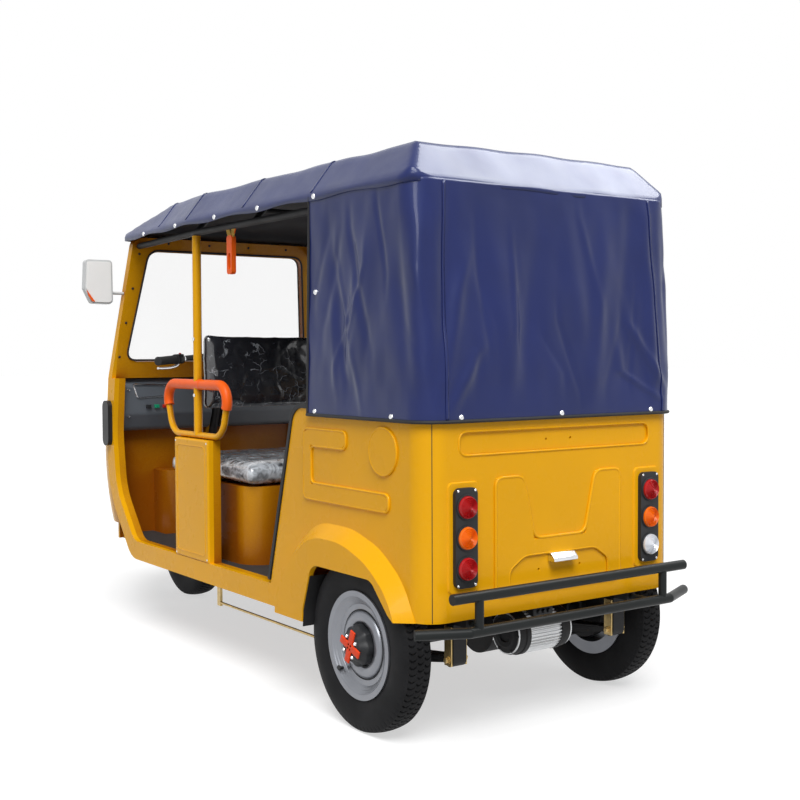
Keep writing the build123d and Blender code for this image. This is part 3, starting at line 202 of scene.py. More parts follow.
# finishes: colour drift, roughness drift and a small relief in each; some also get painted crease highlights or painted
# cabin shade
def reliefOf(tree, place, relief):
    kind, scale = relief["kind"], relief["scale"]
    if kind == "grain":
        return noiseOf(tree, place, scale, 4.0)
    if kind == "brushed":
        stretch = linked(tree, "ShaderNodeMapping", None, {"Scale": relief["stretch"]}, {"Vector": place})
        return noiseOf(tree, stretch.outputs[0], scale, 3.0)
    if kind == "ribs":
        bands = {"bands_direction": relief["along"]}
        return linked(tree, "ShaderNodeTexWave", bands, {"Scale": scale}, {"Vector": place}).outputs[1]
    if kind == "weave":
        parts = linked(tree, "ShaderNodeSeparateXYZ", None, None, {0: place})
        runs = (mathOf(tree, "ADD", parts.outputs[0], parts.outputs[1]), parts.outputs[2])
        waves = [mathOf(tree, "SINE", mathOf(tree, "MULTIPLY", run, scale)) for run in runs]
        return mathOf(tree, "ADD", *waves)
    # crinkled film: creases where cells meet, broken up by noise
    bend = linked(tree, "ShaderNodeTexNoise", None, {"Scale": scale * 0.6, "Detail": 3.0}, {"Vector": place})
    mixed = linked(tree, "ShaderNodeMix", {"data_type": "VECTOR"}, {0: 0.12}, {4: place, 5: bend.outputs[1]})
    edges = {"feature": "DISTANCE_TO_EDGE"}
    cells = linked(tree, "ShaderNodeTexVoronoi", edges, {"Scale": scale}, {"Vector": mixed.outputs[1]})
    return cells.outputs["Distance"]


# painted highlights: pale lines along the film's creases stand in for the sky's reflection in crinkled film
def paintedCreaseHighlights(tree, place, color, creases):
    cells = reliefOf(tree, place, {"kind": "crinkle", "scale": creases["scale"]})
    lines = spanOf(tree, cells, 0.0, creases["width"], 1.0, 0.0)
    gate = spanOf(tree, noiseOf(tree, place, creases["patch"], 4.0), creases["gate"], creases["gate"] + 0.12)
    return toned(tree, color, creases["color"], mathOf(tree, "MULTIPLY", lines, gate))


# painted shade: inside the cabin, deep corners are darkened in the base colour towards the deeper tone of paint that is
# lit only by its neighbours
def paintedCabinShade(tree, place, color, paintedShade):
    hollow = linked(tree, "ShaderNodeAmbientOcclusion", {"samples": 8}, {"Distance": paintedShade["reach"]})
    amount = spanOf(tree, hollow.outputs["AO"], paintedShade["low"], paintedShade["high"], 1.0, 0.0)
    parts = linked(tree, "ShaderNodeSeparateXYZ", None, None, {0: place})
    for along, middle, half in zip(parts.outputs, paintedShade["middle"], paintedShade["half"]):
        inside = linked(tree, "ShaderNodeMath", {"operation": "COMPARE"}, {1: middle, 2: half}, {0: along})
        amount = mathOf(tree, "MULTIPLY", amount, inside.outputs[0])
    return toned(tree, color, paintedShade["color"], amount)


noiseSpan = (0.3, 0.7)  # where most of a noise texture's values lie


def makeFinish(name, look):
    material = bpy.data.materials.new(name)
    material.use_nodes = True
    tree = material.node_tree
    shader = tree.nodes["Principled BSDF"]
    shader.inputs["Specular IOR Level"].default_value = look.get("gloss", 0.25)
    for socket, value in look.get("sockets", {}).items():
        shader.inputs[socket].default_value = value
    place = tree.nodes.new("ShaderNodeTexCoord").outputs["Object"]
    drift = noiseOf(tree, place, look.get("driftScale", 3.0), 5.0)
    ramp = linked(tree, "ShaderNodeValToRGB", None, None, {0: drift})
    for end, position, share in zip(ramp.color_ramp.elements, noiseSpan, (1 - look["drift"], 1 + look["drift"])):
        end.position = position
        end.color = (*[min(1.0, channel * share) for channel in look["base"]], 1)
    color = ramp.outputs[0]
    # painted highlights along the film's creases
    if "creases" in look:
        color = paintedCreaseHighlights(tree, place, color, look["creases"])
    # painted shade in the cabin's hollows
    if "paintedShade" in look:
        color = paintedCabinShade(tree, place, color, look["paintedShade"])
    tree.links.new(color, shader.inputs["Base Color"])
    rough, roughSpread = look["rough"], look.get("roughSpread", 0.05)
    rub = noiseOf(tree, place, 9.0, 6.0)
    level = spanOf(tree, rub, *noiseSpan, max(0.0, rough - roughSpread), rough + roughSpread)
    tree.links.new(level, shader.inputs["Roughness"])
    relief = look["relief"]
    depths = {"Strength": relief["strength"], "Distance": relief["depth"]}
    bump = linked(tree, "ShaderNodeBump", None, depths, {"Height": reliefOf(tree, place, relief)})
    tree.links.new(bump.outputs[0], shader.inputs["Normal"])
    return material


fineGrain = {"kind": "grain", "scale": 700.0, "strength": 0.25, "depth": 0.0004}
mouldGrain = {"kind": "grain", "scale": 420.0, "strength": 0.12, "depth": 0.0004}
lensGrain = {"kind": "grain", "scale": 300.0, "strength": 0.05, "depth": 0.0004}
looks = {
    "yellowPaint": {
        "base": (0.80, 0.385, 0.004), "gloss": 0.10, "drift": 0.05, "driftScale": 2.2,
        "rough": 0.28, "roughSpread": 0.06,
        "sockets": {"Coat Weight": 0.08, "Coat Roughness": 0.05},
        # painted shade: paint in the cabin's hollows turns dark orange, limited to a box round the cabin
        "paintedShade": {
            "reach": 0.9, "low": 0.40, "high": 0.95, "color": (0.30, 0.080, 0.003),
            "middle": (-0.21, 0.0, 1.03), "half": (1.19, 0.504, 0.70),
        },
        "relief": {"kind": "grain", "scale": 90.0, "strength": 0.02, "depth": 0.0005},
    },
    "blackPaint": {"base": (0.014, 0.016, 0.016), "gloss": 0.15, "drift": 0.15, "rough": 0.36, "relief": fineGrain},
    "underBlack": {"base": (0.016, 0.016, 0.017), "drift": 0.3, "rough": 0.6, "relief": fineGrain},
    "navyCanvas": {
        "base": (0.009, 0.016, 0.098), "drift": 0.14, "driftScale": 4.0,
        "rough": 0.40, "roughSpread": 0.07, "gloss": 0.2,
        "sockets": {
            "Coat Weight": 0.4, "Coat Roughness": 0.14,
            "Coat Tint": (0.80, 0.88, 1, 1), "Specular Tint": (0.70, 0.82, 1, 1),
        },
        "relief": {"kind": "weave", "scale": 2600.0, "strength": 0.12, "depth": 0.0004},
    },
    "canvasLining": {
        "base": (0.018, 0.018, 0.022), "drift": 0.2, "rough": 0.8,
        "relief": {"kind": "weave", "scale": 2200.0, "strength": 0.2, "depth": 0.0004},
    },
    "blackRubber": {"base": (0.02, 0.02, 0.021), "drift": 0.2, "rough": 0.62, "relief": fineGrain},
    "tyreRubber": {
        "base": (0.011, 0.011, 0.012), "drift": 0.25, "driftScale": 14.0,
        "rough": 0.66, "gloss": 0.12, "relief": fineGrain,
    },
    "silverSteel": {
        "base": (0.25, 0.26, 0.285), "drift": 0.06, "driftScale": 12.0, "rough": 0.34,
        "sockets": {"Metallic": 0.75}, "relief": fineGrain,
    },
    "motorAlloy": {
        "base": (0.62, 0.63, 0.64), "drift": 0.08, "driftScale": 20.0, "rough": 0.36, "sockets": {"Metallic": 0.85},
        "relief": {"kind": "brushed", "scale": 40.0, "stretch": (8, 0.6, 8), "strength": 0.2, "depth": 0.0005},
    },
    "brightSteel": {
        "base": (0.72, 0.73, 0.75), "drift": 0.05, "driftScale": 30.0, "rough": 0.2, "sockets": {"Metallic": 1.0},
        "relief": fineGrain,
    },
    "blackPlastic": {"base": (0.020, 0.021, 0.023), "drift": 0.12, "rough": 0.42, "relief": fineGrain},
    "orangePlastic": {"base": (0.90, 0.122, 0.010), "drift": 0.06, "rough": 0.34, "gloss": 0.16, "relief": mouldGrain},
    "hubOrange": {"base": (0.78, 0.060, 0.014), "drift": 0.06, "rough": 0.34, "gloss": 0.16, "relief": mouldGrain},
    "filmedVinyl": {
        "base": (0.018, 0.019, 0.024), "drift": 0.2, "rough": 0.25, "gloss": 0.5,
        "sockets": {"Coat Weight": 1.0, "Coat Roughness": 0.06, "Coat IOR": 1.6},
        "relief": {"kind": "crinkle", "scale": 20.0, "strength": 0.3, "depth": 0.006},
        # thin pale crease lines: painted highlights
        "creases": {"scale": 20.0, "width": 0.035, "patch": 14.0, "gate": 0.53, "color": (0.46, 0.49, 0.53)},
    },
    # film on the seat tops: its paler base and broad pale crease patches are painted reflection of the sky on the same
    # black filmed vinyl
    "sheenPaintedFilm": {
        "base": (0.060, 0.066, 0.074), "drift": 0.35, "driftScale": 12.0, "rough": 0.25, "gloss": 0.5,
        "sockets": {"Coat Weight": 1.0, "Coat Roughness": 0.08, "Coat IOR": 1.6},
        "relief": {"kind": "crinkle", "scale": 24.0, "strength": 0.35, "depth": 0.006},
        "creases": {"scale": 24.0, "width": 0.42, "patch": 9.0, "gate": 0.33, "color": (0.66, 0.70, 0.75)},
    },
    "redLens": {
        "base": (0.42, 0.008, 0.010), "drift": 0.1, "driftScale": 30.0, "rough": 0.2,
        "sockets": {"Coat Weight": 0.15}, "relief": lensGrain,
    },
    "amberLens": {
        "base": (0.84, 0.15, 0.004), "drift": 0.1, "driftScale": 30.0, "rough": 0.2,
        "sockets": {"Coat Weight": 0.15}, "relief": lensGrain,
    },
    "clearLens": {
        "base": (0.72, 0.74, 0.78), "drift": 0.1, "driftScale": 30.0, "rough": 0.12,
        "sockets": {"Coat Weight": 0.8, "Metallic": 0.35}, "relief": lensGrain,
    },
    "screenGlass": {
        "base": (0.94, 0.98, 0.97), "drift": 0.01, "rough": 0.02, "roughSpread": 0.01, "sockets": {"Alpha": 0.05},
        "relief": {"kind": "grain", "scale": 3.0, "strength": 0.005, "depth": 0.0005},
    },
    # mirror glass: a pale plain base instead of a true mirror, painted reflection of the bright sky
    "mirrorPaintedReflection": {
        "base": (0.93, 0.92, 0.90), "drift": 0.03, "rough": 0.25, "roughSpread": 0.02, "gloss": 0.5,
        "relief": {"kind": "grain", "scale": 5.0, "strength": 0.01, "depth": 0.0005},
    },
    "yellowZinc": {
        "base": (0.60, 0.44, 0.19), "drift": 0.2, "driftScale": 40.0, "rough": 0.36, "sockets": {"Metallic": 0.8},
        "relief": fineGrain,
    },
    "ribbedMat": {
        "base": (0.038, 0.037, 0.036), "drift": 0.2, "driftScale": 8.0, "rough": 0.66,
        "relief": {"kind": "ribs", "along": "Y", "scale": 60.0, "strength": 0.5, "depth": 0.002},
    },
    "yellowWebbing": {
        "base": (0.72, 0.44, 0.09), "drift": 0.12, "driftScale": 60.0, "rough": 0.8,
        "relief": {"kind": "weave", "scale": 3600.0, "strength": 0.6, "depth": 0.0006},
    },
    "dashPlastic": {"base": (0.110, 0.125, 0.145), "drift": 0.12, "rough": 0.38, "gloss": 0.5, "relief": fineGrain},
    "greenPlastic": {"base": (0.01, 0.32, 0.16), "drift": 0.05, "rough": 0.3, "relief": fineGrain},
    "redPlastic": {"base": (0.55, 0.02, 0.015), "drift": 0.05, "rough": 0.3, "relief": fineGrain},
    "palePlastic": {"base": (0.62, 0.63, 0.63), "drift": 0.04, "rough": 0.35, "relief": fineGrain},
}
finishes = {name: makeFinish(name, look) for name, look in looks.items()}

nodeFinish = {
    "yellowPaint": [
        "floor_panel", "door_frame_left", "door_frame_right", "rear_side_left", "rear_side_right", "rear_panel",
        "front_shell", "front_bulkhead", "windscreen_frame", "side_hoop_left", "side_hoop_right",
        "guard_panel_left", "guard_panel_right", "driver_seat_base", "bench_base",
    ],
    "underBlack": ["chassis_frame", "rear_axle", "leaf_springs", "fork", "canopy_frame", "battery_pack"],
    "blackPaint": ["rear_bumper", "handlebar"],
    "dashPlastic": ["dashboard"],
    "blackPlastic": ["lamp_boards", "headlamps", "front_mudguard", "side_markers"],
    "blackRubber": ["door_seals"],
    "ribbedMat": ["floor_mat"],
    "orangePlastic": ["hoop_grips", "grab_straps"],
    "silverSteel": ["rim_front", "rim_rear_left", "rim_rear_right"],
    "palePlastic": ["plate_lamp", "mirrors"],
    "motorAlloy": ["drive_motor"],
    "yellowZinc": ["brake_linkage"],
    "screenGlass": ["windscreen_glass"],
    "mirrorPaintedReflection": ["mirror_glasses"],
    "redLens": ["red_lenses"],
    "amberLens": ["amber_lenses"],
    "clearLens": ["clear_lens", "headlamp_lenses"],
    "tyreRubber": ["tyre_front", "tyre_rear_left", "tyre_rear_right"],
    "filmedVinyl": ["driver_cushion", "driver_backrest", "bench_cushion", "bench_backrest"],
    "navyCanvas": ["canopy_roof", "canopy_curtain"],
}
for finishName, names in nodeFinish.items():
    for name in names:
        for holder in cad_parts[name].material_slots:
            holder.material = finishes[finishName]
print("finishes made:", len(finishes))


# mesh tools
def addPiece(name, mesh, finishName, body, crease=40):
    piece = bpy.data.objects.new(name, mesh)
    bpy.context.scene.collection.objects.link(piece)
    mesh.materials.append(finishes[finishName])
    for face in mesh.polygons:
        face.use_smooth = True
    if crease:
        mesh.set_sharp_from_angle(angle=radians(crease))
    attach(piece, body)
    return piece


def closeKit(kit, name, finishName, body, crease=40):
    bmesh.ops.recalc_face_normals(kit, faces=kit.faces)
    mesh = bpy.data.meshes.new(name)
    kit.to_mesh(mesh)
    kit.free()
    return addPiece(name, mesh, finishName, body, crease)


def bridge(kit, low, high):
    count = len(low)
    for step in range(count):
        after = (step + 1) % count
        kit.faces.new((low[step], low[after], high[after], high[step]))


def fan(kit, tip, ring):
    for step, vert in enumerate(ring):
        kit.faces.new((tip, vert, ring[(step + 1) % len(ring)]))


def prismInto(kit, near, far):
    ends = [[kit.verts.new(point) for point in points] for points in (near, far)]
    for end in ends:
        kit.faces.new(end)
    bridge(kit, *ends)


def ringInto(kit, center, side, other, radius, steps):
    turns = [2 * pi * step / steps for step in range(steps)]
    return [kit.verts.new(center + (side * cos(turn) + other * sin(turn)) * radius) for turn in turns]


def spinInto(kit, center, axis, profile, steps=32):
    axis = Vector(axis).normalized()
    side = axis.orthogonal().normalized()
    other = axis.cross(side)
    rings = []
    for radius, along in profile:
        base = Vector(center) + axis * along
        rings.append(ringInto(kit, base, side, other, radius, steps) if radius else [kit.verts.new(base)])
    ends = [ring for ring in (rings[0], rings[-1]) if len(ring) > 1]
    pairs = list(zip(rings, rings[1:]))
    if len(ends) == 2:
        pairs.append((rings[-1], rings[0]))  # a hoop closes on itself
    elif ends:
        kit.faces.new(ends[0])
    for low, high in pairs:
        if len(low) == len(high):
            bridge(kit, low, high)
        elif len(low) == 1:
            fan(kit, low[0], high)
        else:
            fan(kit, high[0], low)


def boxInto(kit, center, size, bevel=0.0, turn=None):
    spin = turn.to_4x4() if turn else Matrix.Identity(4)
    place = Matrix.Translation(center) @ spin @ Matrix.Diagonal((*size, 1))
    made = bmesh.ops.create_cube(kit, size=1, matrix=place)
    if bevel:
        edges = list({edge for vert in made["verts"] for edge in vert.link_edges})
        bmesh.ops.bevel(kit, geom=edges, offset=bevel, segments=3, profile=0.6, affect="EDGES")


def tubeInto(kit, points, radius, steps=12, closed=False):
    points = [Vector(point) for point in points]
    count = len(points)
    normal = None
    rings = []
    for index in range(count):
        before = points[index - 1] if index or closed else points[0]
        after = points[(index + 1) % count] if index < count - 1 or closed else points[-1]
        along = (after - before).normalized()
        normal = along.orthogonal() if normal is None else normal - along * normal.dot(along)
        normal = normal.normalized()
        rings.append(ringInto(kit, points[index], normal, along.cross(normal), radius, steps))
    for low, high in zip(rings, rings[1:]):
        bridge(kit, low, high)
    if closed:
        bridge(kit, rings[-1], rings[0])
    else:
        kit.faces.new(rings[0])
        kit.faces.new(rings[-1])


def smoothRun(points, share):
    points = [Vector(point) for point in points]
    ends = [2 * points[0] - points[1], *points, 2 * points[-1] - points[-2]]
    run = []
    for a, b, c, d in zip(ends, ends[1:], ends[2:], ends[3:]):
        for step in range(share):
            t = step / share
            curve = (2 * a - 5 * b + 4 * c - d) * t * t + (3 * b - a - 3 * c + d) * t ** 3
            run.append(0.5 * (2 * b + (c - a) * t + curve))
    return run + [points[-1]]


def roundLoop(points, radius, steps=6):
    run = []
    count = len(points)
    for index in range(count):
        before, here, after = (Vector(points[(index + shift) % count]) for shift in (-1, 0, 1))
        cut = min(radius, 0.45 * (before - here).length, 0.45 * (after - here).length)
        start = here + (before - here).normalized() * cut
        end = here + (after - here).normalized() * cut
        for step in range(steps + 1):
            t = step / steps
            run.append(start * (1 - t) ** 2 + here * 2 * t * (1 - t) + end * t * t)
    return run


def boltInto(kit, place, out, size=0.007):
    profile = [(0, size * 0.7), (size * 0.55, size * 0.6), (size, size * 0.12), (size, -size * 0.4)]
    spinInto(kit, place, out, profile, 18)


def gridFaces(rows, columns):
    faces = []
    for row in range(rows - 1):
        for column in range(columns - 1):
            first = row * columns + column
            faces.append((first, first + columns, first + columns + 1, first + 1))
    return faces


def thicken(piece, thickness, offset):
    thick = piece.modifiers.new("thickness", "SOLIDIFY")
    thick.thickness = thickness
    thick.offset = offset
    return thick


def clamp(value):
    return min(1.0, max(0.0, value))


def ease(value, low, high):
    t = np.clip((value - low) / (high - low), 0, 1)
    return t * t * (3 - 2 * t)


canvasThick = 0.003


def makeSheet(name, mesh):  # canvas outside, dark lining inside
    piece = addPiece(name, mesh, "navyCanvas", "chassis", 0)
    mesh.materials.append(finishes["canvasLining"])
    thicken(piece, canvasThick, -1).material_offset = 1
    return piece


# soft top: the roof sheet
roof = {
    "rear": -0.297, "ridgeRear": -0.195, "brow": 1.520, "front": 1.942, "eaves": 1.690, "ridge": 1.818,
    "half": 0.541, "ridgeHalf": 0.455, "frontHalf": 0.482, "frontHeight": 1.712, "bend": 1.195, "corner": 0.07,
    "frontCorner": 0.03, "crownDrop": 0.004, "endRise": 0.004, "browDrop": 0.008, "sideRise": 0.012, "soft": 0.012,
    "sag": 0.009, "ripple": 0.0016, "bows": [-0.195, 0.287, 0.730, 1.195, 1.900], "along": 150, "across": 84,
    "crowding": 0.35, "middle": 0.8, "footDrop": 0.0154,
    # the turned edge, row by row: share of the way down to its foot, push outward, lift of the foot
    "edge": [(0.35, 0.0035, 0.0), (1.0, 0.004, 0.0), (1.0, 0.0015, 0.001)],
}


def roundEnd(half, past, corner):
    near = np.clip(past, 0, corner)
    return half - corner + np.sqrt(corner ** 2 - near ** 2)


def roofHalf(x):
    half = np.interp(x, [roof["bend"], roof["front"]], [roof["half"], roof["frontHalf"]])
    half = roundEnd(half, roof["rear"] + roof["corner"] - x, roof["corner"])
    return roundEnd(half, x - roof["front"] + roof["frontCorner"], roof["frontCorner"])


def softLess(a, b, k):
    h = np.clip(0.5 + 0.5 * (b - a) / k, 0, 1)
    return b * (1 - h) + a * h - k * h * (1 - h)


def roofHeight(x, y):
    ridge, rise, crown = roof["ridge"], roof["endRise"], roof["ridge"] - roof["crownDrop"]
    side = np.interp(
        x,
        [roof["rear"], roof["ridgeRear"], roof["brow"], roof["front"]],
        [roof["eaves"] + rise, ridge + rise, ridge - roof["browDrop"], roof["frontHeight"]],
    )
    reach = np.abs(y) * np.interp(x, [roof["bend"], roof["front"]], [1.0, roof["half"] / roof["frontHalf"]])
    cross = np.where(
        reach < roof["ridgeHalf"],
        ridge - roof["crownDrop"] * (reach / roof["ridgeHalf"]) ** 2,
        np.interp(reach, [roof["ridgeHalf"], roof["half"]], [crown, roof["eaves"] + roof["sideRise"]]),
    )
    height = softLess(side, cross, roof["soft"])
    # the sheet sags between the bows and ripples a little
    share = np.zeros_like(x)
    for low, high in zip(roof["bows"], roof["bows"][1:]):
        inside = (x >= low) & (x < high)
        share = np.where(inside, np.sin(np.clip((x - low) / (high - low), 0, 1) * pi) ** 2, share)
    middle = 1 - np.clip(reach / roof["half"], 0, 1) ** 4
    ripple = np.sin(x * 23 + 9 * y) * np.sin(y * 17 - 5 * x + 1.3) + 0.6 * np.sin(31 * x - 22 * y + 0.4)
    return height - roof["sag"] * share * middle + roof["ripple"] * ripple * middle


def makeRoof():
    rows, columns = roof["along"], roof["across"]
    even = np.linspace(0, 1, rows)
    crowded = 0.5 - 0.5 * np.cos(even * pi)
    stations = roof["rear"] + (roof["front"] - roof["rear"]) * (even + (crowded - even) * roof["crowding"])
    x = np.repeat(stations[:, None], columns, 1)
    y = roofHalf(x) * np.linspace(-1, 1, columns)[None, :]
    z = roofHeight(x, y)
    verts = [spot(*values) for values in zip(x.ravel(), y.ravel(), z.ravel())]
    faces = gridFaces(rows, columns)
    loop = [row * columns for row in range(rows)]
    loop += [(rows - 1) * columns + column for column in range(1, columns)]
    loop += [row * columns + columns - 1 for row in range(rows - 2, -1, -1)]
    loop += list(range(columns - 2, 0, -1))
    middle = axleX + roof["middle"]
    last = loop
    for drop, push, lift in roof["edge"]:
        fresh = list(range(len(verts), len(verts) + len(loop)))
        for index in loop:
            base = verts[index]
            out = Vector((base.x - middle, base.y * 6, 0)).normalized()
            scallop = 0.004 * sin(base.x * 16) + 0.003 * sin(base.y * 15)
            foot = roof["eaves"] - roof["footDrop"] + scallop + lift
            verts.append(Vector((base.x, base.y, base.z + (foot - base.z) * drop)) + out * push)
        for index in range(len(loop)):
            after = (index + 1) % len(loop)
            faces.append((last[index], last[after], fresh[after], fresh[index]))
        last = fresh
    mesh = bpy.data.meshes.new("canvasRoof")
    mesh.from_pydata(verts, [], faces)
    kit = bmesh.new()
    kit.from_mesh(mesh)
    bmesh.ops.recalc_face_normals(kit, faces=kit.faces)
    kit.to_mesh(mesh)
    kit.free()
    piece = makeSheet("canvasRoof", mesh)
    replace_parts(piece, "canopy_roof")


makeRoof()
print("roof sheet made")

# soft top: the curtain round the back
curtain = {
    "hem": 0.980, "top": 1.692, "straight": 1.002, "hemHalf": 0.5345, "topHalf": 0.541, "hemRear": -0.3455,
    "topRear": -0.299, "hemFront": 0.300, "topFront": 0.270, "hemCorner": 0.088, "topCorner": 0.072,
    "across": 330, "rise": 92, "foldGain": 1.7, "foldFade": 0.10, "wave": 0.005, "hemFade": 0.12, "topFade": 0.06,
    "edgeShare": 0.3, "deepest": -0.013, "creases": 46, "creaseTop": 1.64,
}
# folds: start share and height, end share and height, width, depth (shares run left front to right front)
foldLines = [
    (0.255, 1.60, 0.275, 1.02, 0.016, 0.007), (0.31, 1.66, 0.30, 1.10, 0.014, -0.006),
    (0.335, 1.45, 0.29, 1.00, 0.012, 0.006), (0.225, 1.50, 0.25, 1.03, 0.014, -0.005),
    (0.17, 1.64, 0.10, 1.05, 0.020, 0.005), (0.06, 1.60, 0.12, 1.00, 0.018, -0.004),
    (0.38, 1.66, 0.42, 1.05, 0.020, 0.005), (0.47, 1.60, 0.43, 1.02, 0.018, -0.005),
    (0.52, 1.66, 0.55, 1.15, 0.022, 0.005), (0.60, 1.55, 0.56, 1.00, 0.016, 0.006),
    (0.66, 1.66, 0.62, 1.08, 0.016, -0.006), (0.69, 1.62, 0.685, 1.02, 0.012, 0.008),
    (0.64, 1.28, 0.705, 1.06, 0.010, 0.006), (0.62, 1.12, 0.70, 1.02, 0.009, 0.005),
    (0.745, 1.60, 0.73, 1.04, 0.014, 0.006), (0.80, 1.62, 0.86, 1.04, 0.020, -0.005),
    (0.93, 1.60, 0.90, 1.02, 0.018, 0.005), (0.36, 1.20, 0.31, 1.01, 0.010, 0.005),
]
# small creases between them
dice = np.random.default_rng(11)
for _ in range(curtain["creases"]):
    start, low = dice.uniform(0.03, 0.97), dice.uniform(1.0, 1.42)
    high = min(low + dice.uniform(0.10, 0.34), curtain["creaseTop"])
    end = start + dice.uniform(-0.05, 0.05)
    width, depth = dice.uniform(0.0045, 0.009), dice.uniform(-0.0026, 0.0030)
    foldLines.append((start, high, end, low, width, depth))


def curtainOutline(height):
    share = max(0.0, (height - curtain["straight"]) / (curtain["top"] - curtain["straight"]))
    ends = [(curtain["hem" + key], curtain["top" + key]) for key in ("Half", "Rear", "Front", "Corner")]
    return [low + (high - low) * share for low, high in ends]


def curtainPoint(share, height, lift=0.0):
    half, rear, front, corner = curtainOutline(height)
    runs = [front - rear - corner, corner * pi / 2, 2 * (half - corner), corner * pi / 2, front - rear - corner]
    far = share * sum(runs)
    if far <= runs[0]:
        return spot(front - far, half, height) + Vector((0, lift, 0))
    far -= runs[0]
    if far <= runs[1]:
        turn = far / corner
        out = Vector((-sin(turn), cos(turn), 0))
        return spot(rear + corner, half - corner, height) + out * (corner + lift)
    far -= runs[1]
    if far <= runs[2]:
        return spot(rear, half - corner - far, height) + Vector((-lift, 0, 0))
    far -= runs[2]
    if far <= runs[3]:
        turn = far / corner
        out = Vector((-cos(turn), -sin(turn), 0))
        return spot(rear + corner, corner - half, height) + out * (corner + lift)
    far -= runs[3]
    return spot(rear + corner + far, -half, height) + Vector((0, -lift, 0))


def curtainLift(share, height):
    total = 0.0
    past = curtain["foldFade"]
    for s0, z0, s1, z1, width, depth in foldLines:
        if not z1 - past < height < z0 + past:
            continue
        center = s0 + (s1 - s0) * clamp((z0 - height) / (z0 - z1))
        fade = sin(pi * clamp((height - z1 + past) / (z0 - z1 + 2 * past)))
        total += curtain["foldGain"] * depth * fade * np.exp(-((share - center) / width) ** 2)
    wave = noise.noise(Vector((share * 14, height * 3, 0.3))) + 0.5 * noise.noise(Vector((share * 40, height * 9, 1.7)))
    total += curtain["wave"] * wave
    # the hem and the top lie nearly flat, and only stand outward there
    edge = clamp((height - curtain["hem"]) / curtain["hemFade"]) * clamp((curtain["top"] - height) / curtain["topFade"])
    total = total * edge + max(0.0, total) * curtain["edgeShare"] * (1 - edge)
    return max(total, curtain["deepest"])


def makeCurtain():
    verts = []
    wide, tall = curtain["across"], curtain["rise"]
    for row in range(tall):
        height = curtain["hem"] + (curtain["top"] - curtain["hem"]) * row / (tall - 1)
        for column in range(wide):
            share = column / (wide - 1)
            verts.append(curtainPoint(share, height, curtainLift(share, height)))
    mesh = bpy.data.meshes.new("canvasCurtain")
    mesh.from_pydata(verts, [], gridFaces(tall, wide))
    if mesh.polygons[(wide - 1) * (tall // 2) + wide // 2].normal.x > 0:
        mesh.flip_normals()
    piece = makeSheet("canvasCurtain", mesh)
    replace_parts(piece, "canopy_curtain")


makeCurtain()

# hem piping, snaps and sewn tapes
piping = {"foot": 0.981, "rise": 0.71, "lift": 0.002, "hemRadius": 0.0055, "edgeRadius": 0.0045}
snaps = {
    "radius": 0.0095, "height": 0.0055, "hem": 0.992, "roofHeight": 1.688, "roofStand": 0.0035,
    "hemShares": [0.02, 0.21, 0.325, 0.50, 0.675, 0.79, 0.98], "sidePlaces": [(0.02, 1.38), (0.98, 1.38)],
    "roofStations": [0.237, 0.613, 0.942, 1.297, 1.670],
}
tapes = {
    "roofStations": [0.262, 0.730, 1.195, 1.500], "roofHalf": 0.006, "roofSteps": 120, "roofLift": 0.0010,
    "backShares": [0.302, 0.698], "backHalf": 0.0022, "backSteps": 75, "backLift": 0.0016,
    "foot": 0.985, "rise": 0.70, "thick": 0.0016,
}


def snapInto(kit, place, out):
    radius, rise = snaps["radius"], snaps["height"]
    dome = [(0, rise), (radius * 0.45, rise * 0.95), (radius * 0.8, rise * 0.6), (radius, rise * 0.15)]
    spinInto(kit, place, out, dome + [(radius, -0.004)], 20)


def roofTapeRun(station):
    run = []
    for step in range(tapes["roofSteps"] + 1):
        share = -1 + 2 * step / tapes["roofSteps"]
        pair = []
        for shift in (-tapes["roofHalf"], tapes["roofHalf"]):
            x = np.array([station + shift])
            y = roofHalf(x) * share
            pair.append(spot(station + shift, float(y[0]), float(roofHeight(x, y)[0]) + tapes["roofLift"]))
        run.append(pair)
    return run


def backTapeRun(share):
    run = []
    for step in range(tapes["backSteps"] + 1):
        height = tapes["foot"] + tapes["rise"] * step / tapes["backSteps"]
        edges = (share - tapes["backHalf"], share + tapes["backHalf"])
        run.append([curtainPoint(edge, height, curtainLift(edge, height) + tapes["backLift"]) for edge in edges])
    return run


def tapeFaces(count):
    return [(first, first + 1, first + 3, first + 2) for first in range(0, 2 * (count - 1), 2)]


def makeCanvasTrim():
    kit = bmesh.new()
    foot = piping["foot"]
    tubeInto(kit, [curtainPoint(k / 160, foot, piping["lift"]) for k in range(161)], piping["hemRadius"], 8)
    for share in (0.0, 1.0):
        run = [curtainPoint(share, foot + piping["rise"] * k / 40, 0.0) for k in range(41)]
        tubeInto(kit, run, piping["edgeRadius"], 8)
    closeKit(kit, "canvasPiping", "blackRubber", "chassis")
    kit = bmesh.new()
    for share, height in [(share, snaps["hem"]) for share in snaps["hemShares"]] + snaps["sidePlaces"]:
        here = curtainPoint(share, height)
        snapInto(kit, here, curtainPoint(share, height, 0.01) - here)
    for station in snaps["roofStations"]:
        half = float(roofHalf(np.array([station]))[0]) + snaps["roofStand"]
        for side in sides:
            snapInto(kit, spot(station, side * half, snaps["roofHeight"]), (0, side, 0))
    closeKit(kit, "canvasSnaps", "brightSteel", "chassis")
    # sewn tapes: flat bands that lie on the canvas
    verts, faces = [], []
    runs = [roofTapeRun(station) for station in tapes["roofStations"]]
    runs += [backTapeRun(share) for share in tapes["backShares"]]
    for run in runs:
        faces += [tuple(len(verts) + index for index in face) for face in tapeFaces(len(run))]
        verts += [point for pair in run for point in pair]
    mesh = bpy.data.meshes.new("canvasTapes")
    mesh.from_pydata(verts, [], faces)
    thicken(addPiece("canvasTapes", mesh, "navyCanvas", "chassis", 0), tapes["thick"], 0)


makeCanvasTrim()
print("soft top made")

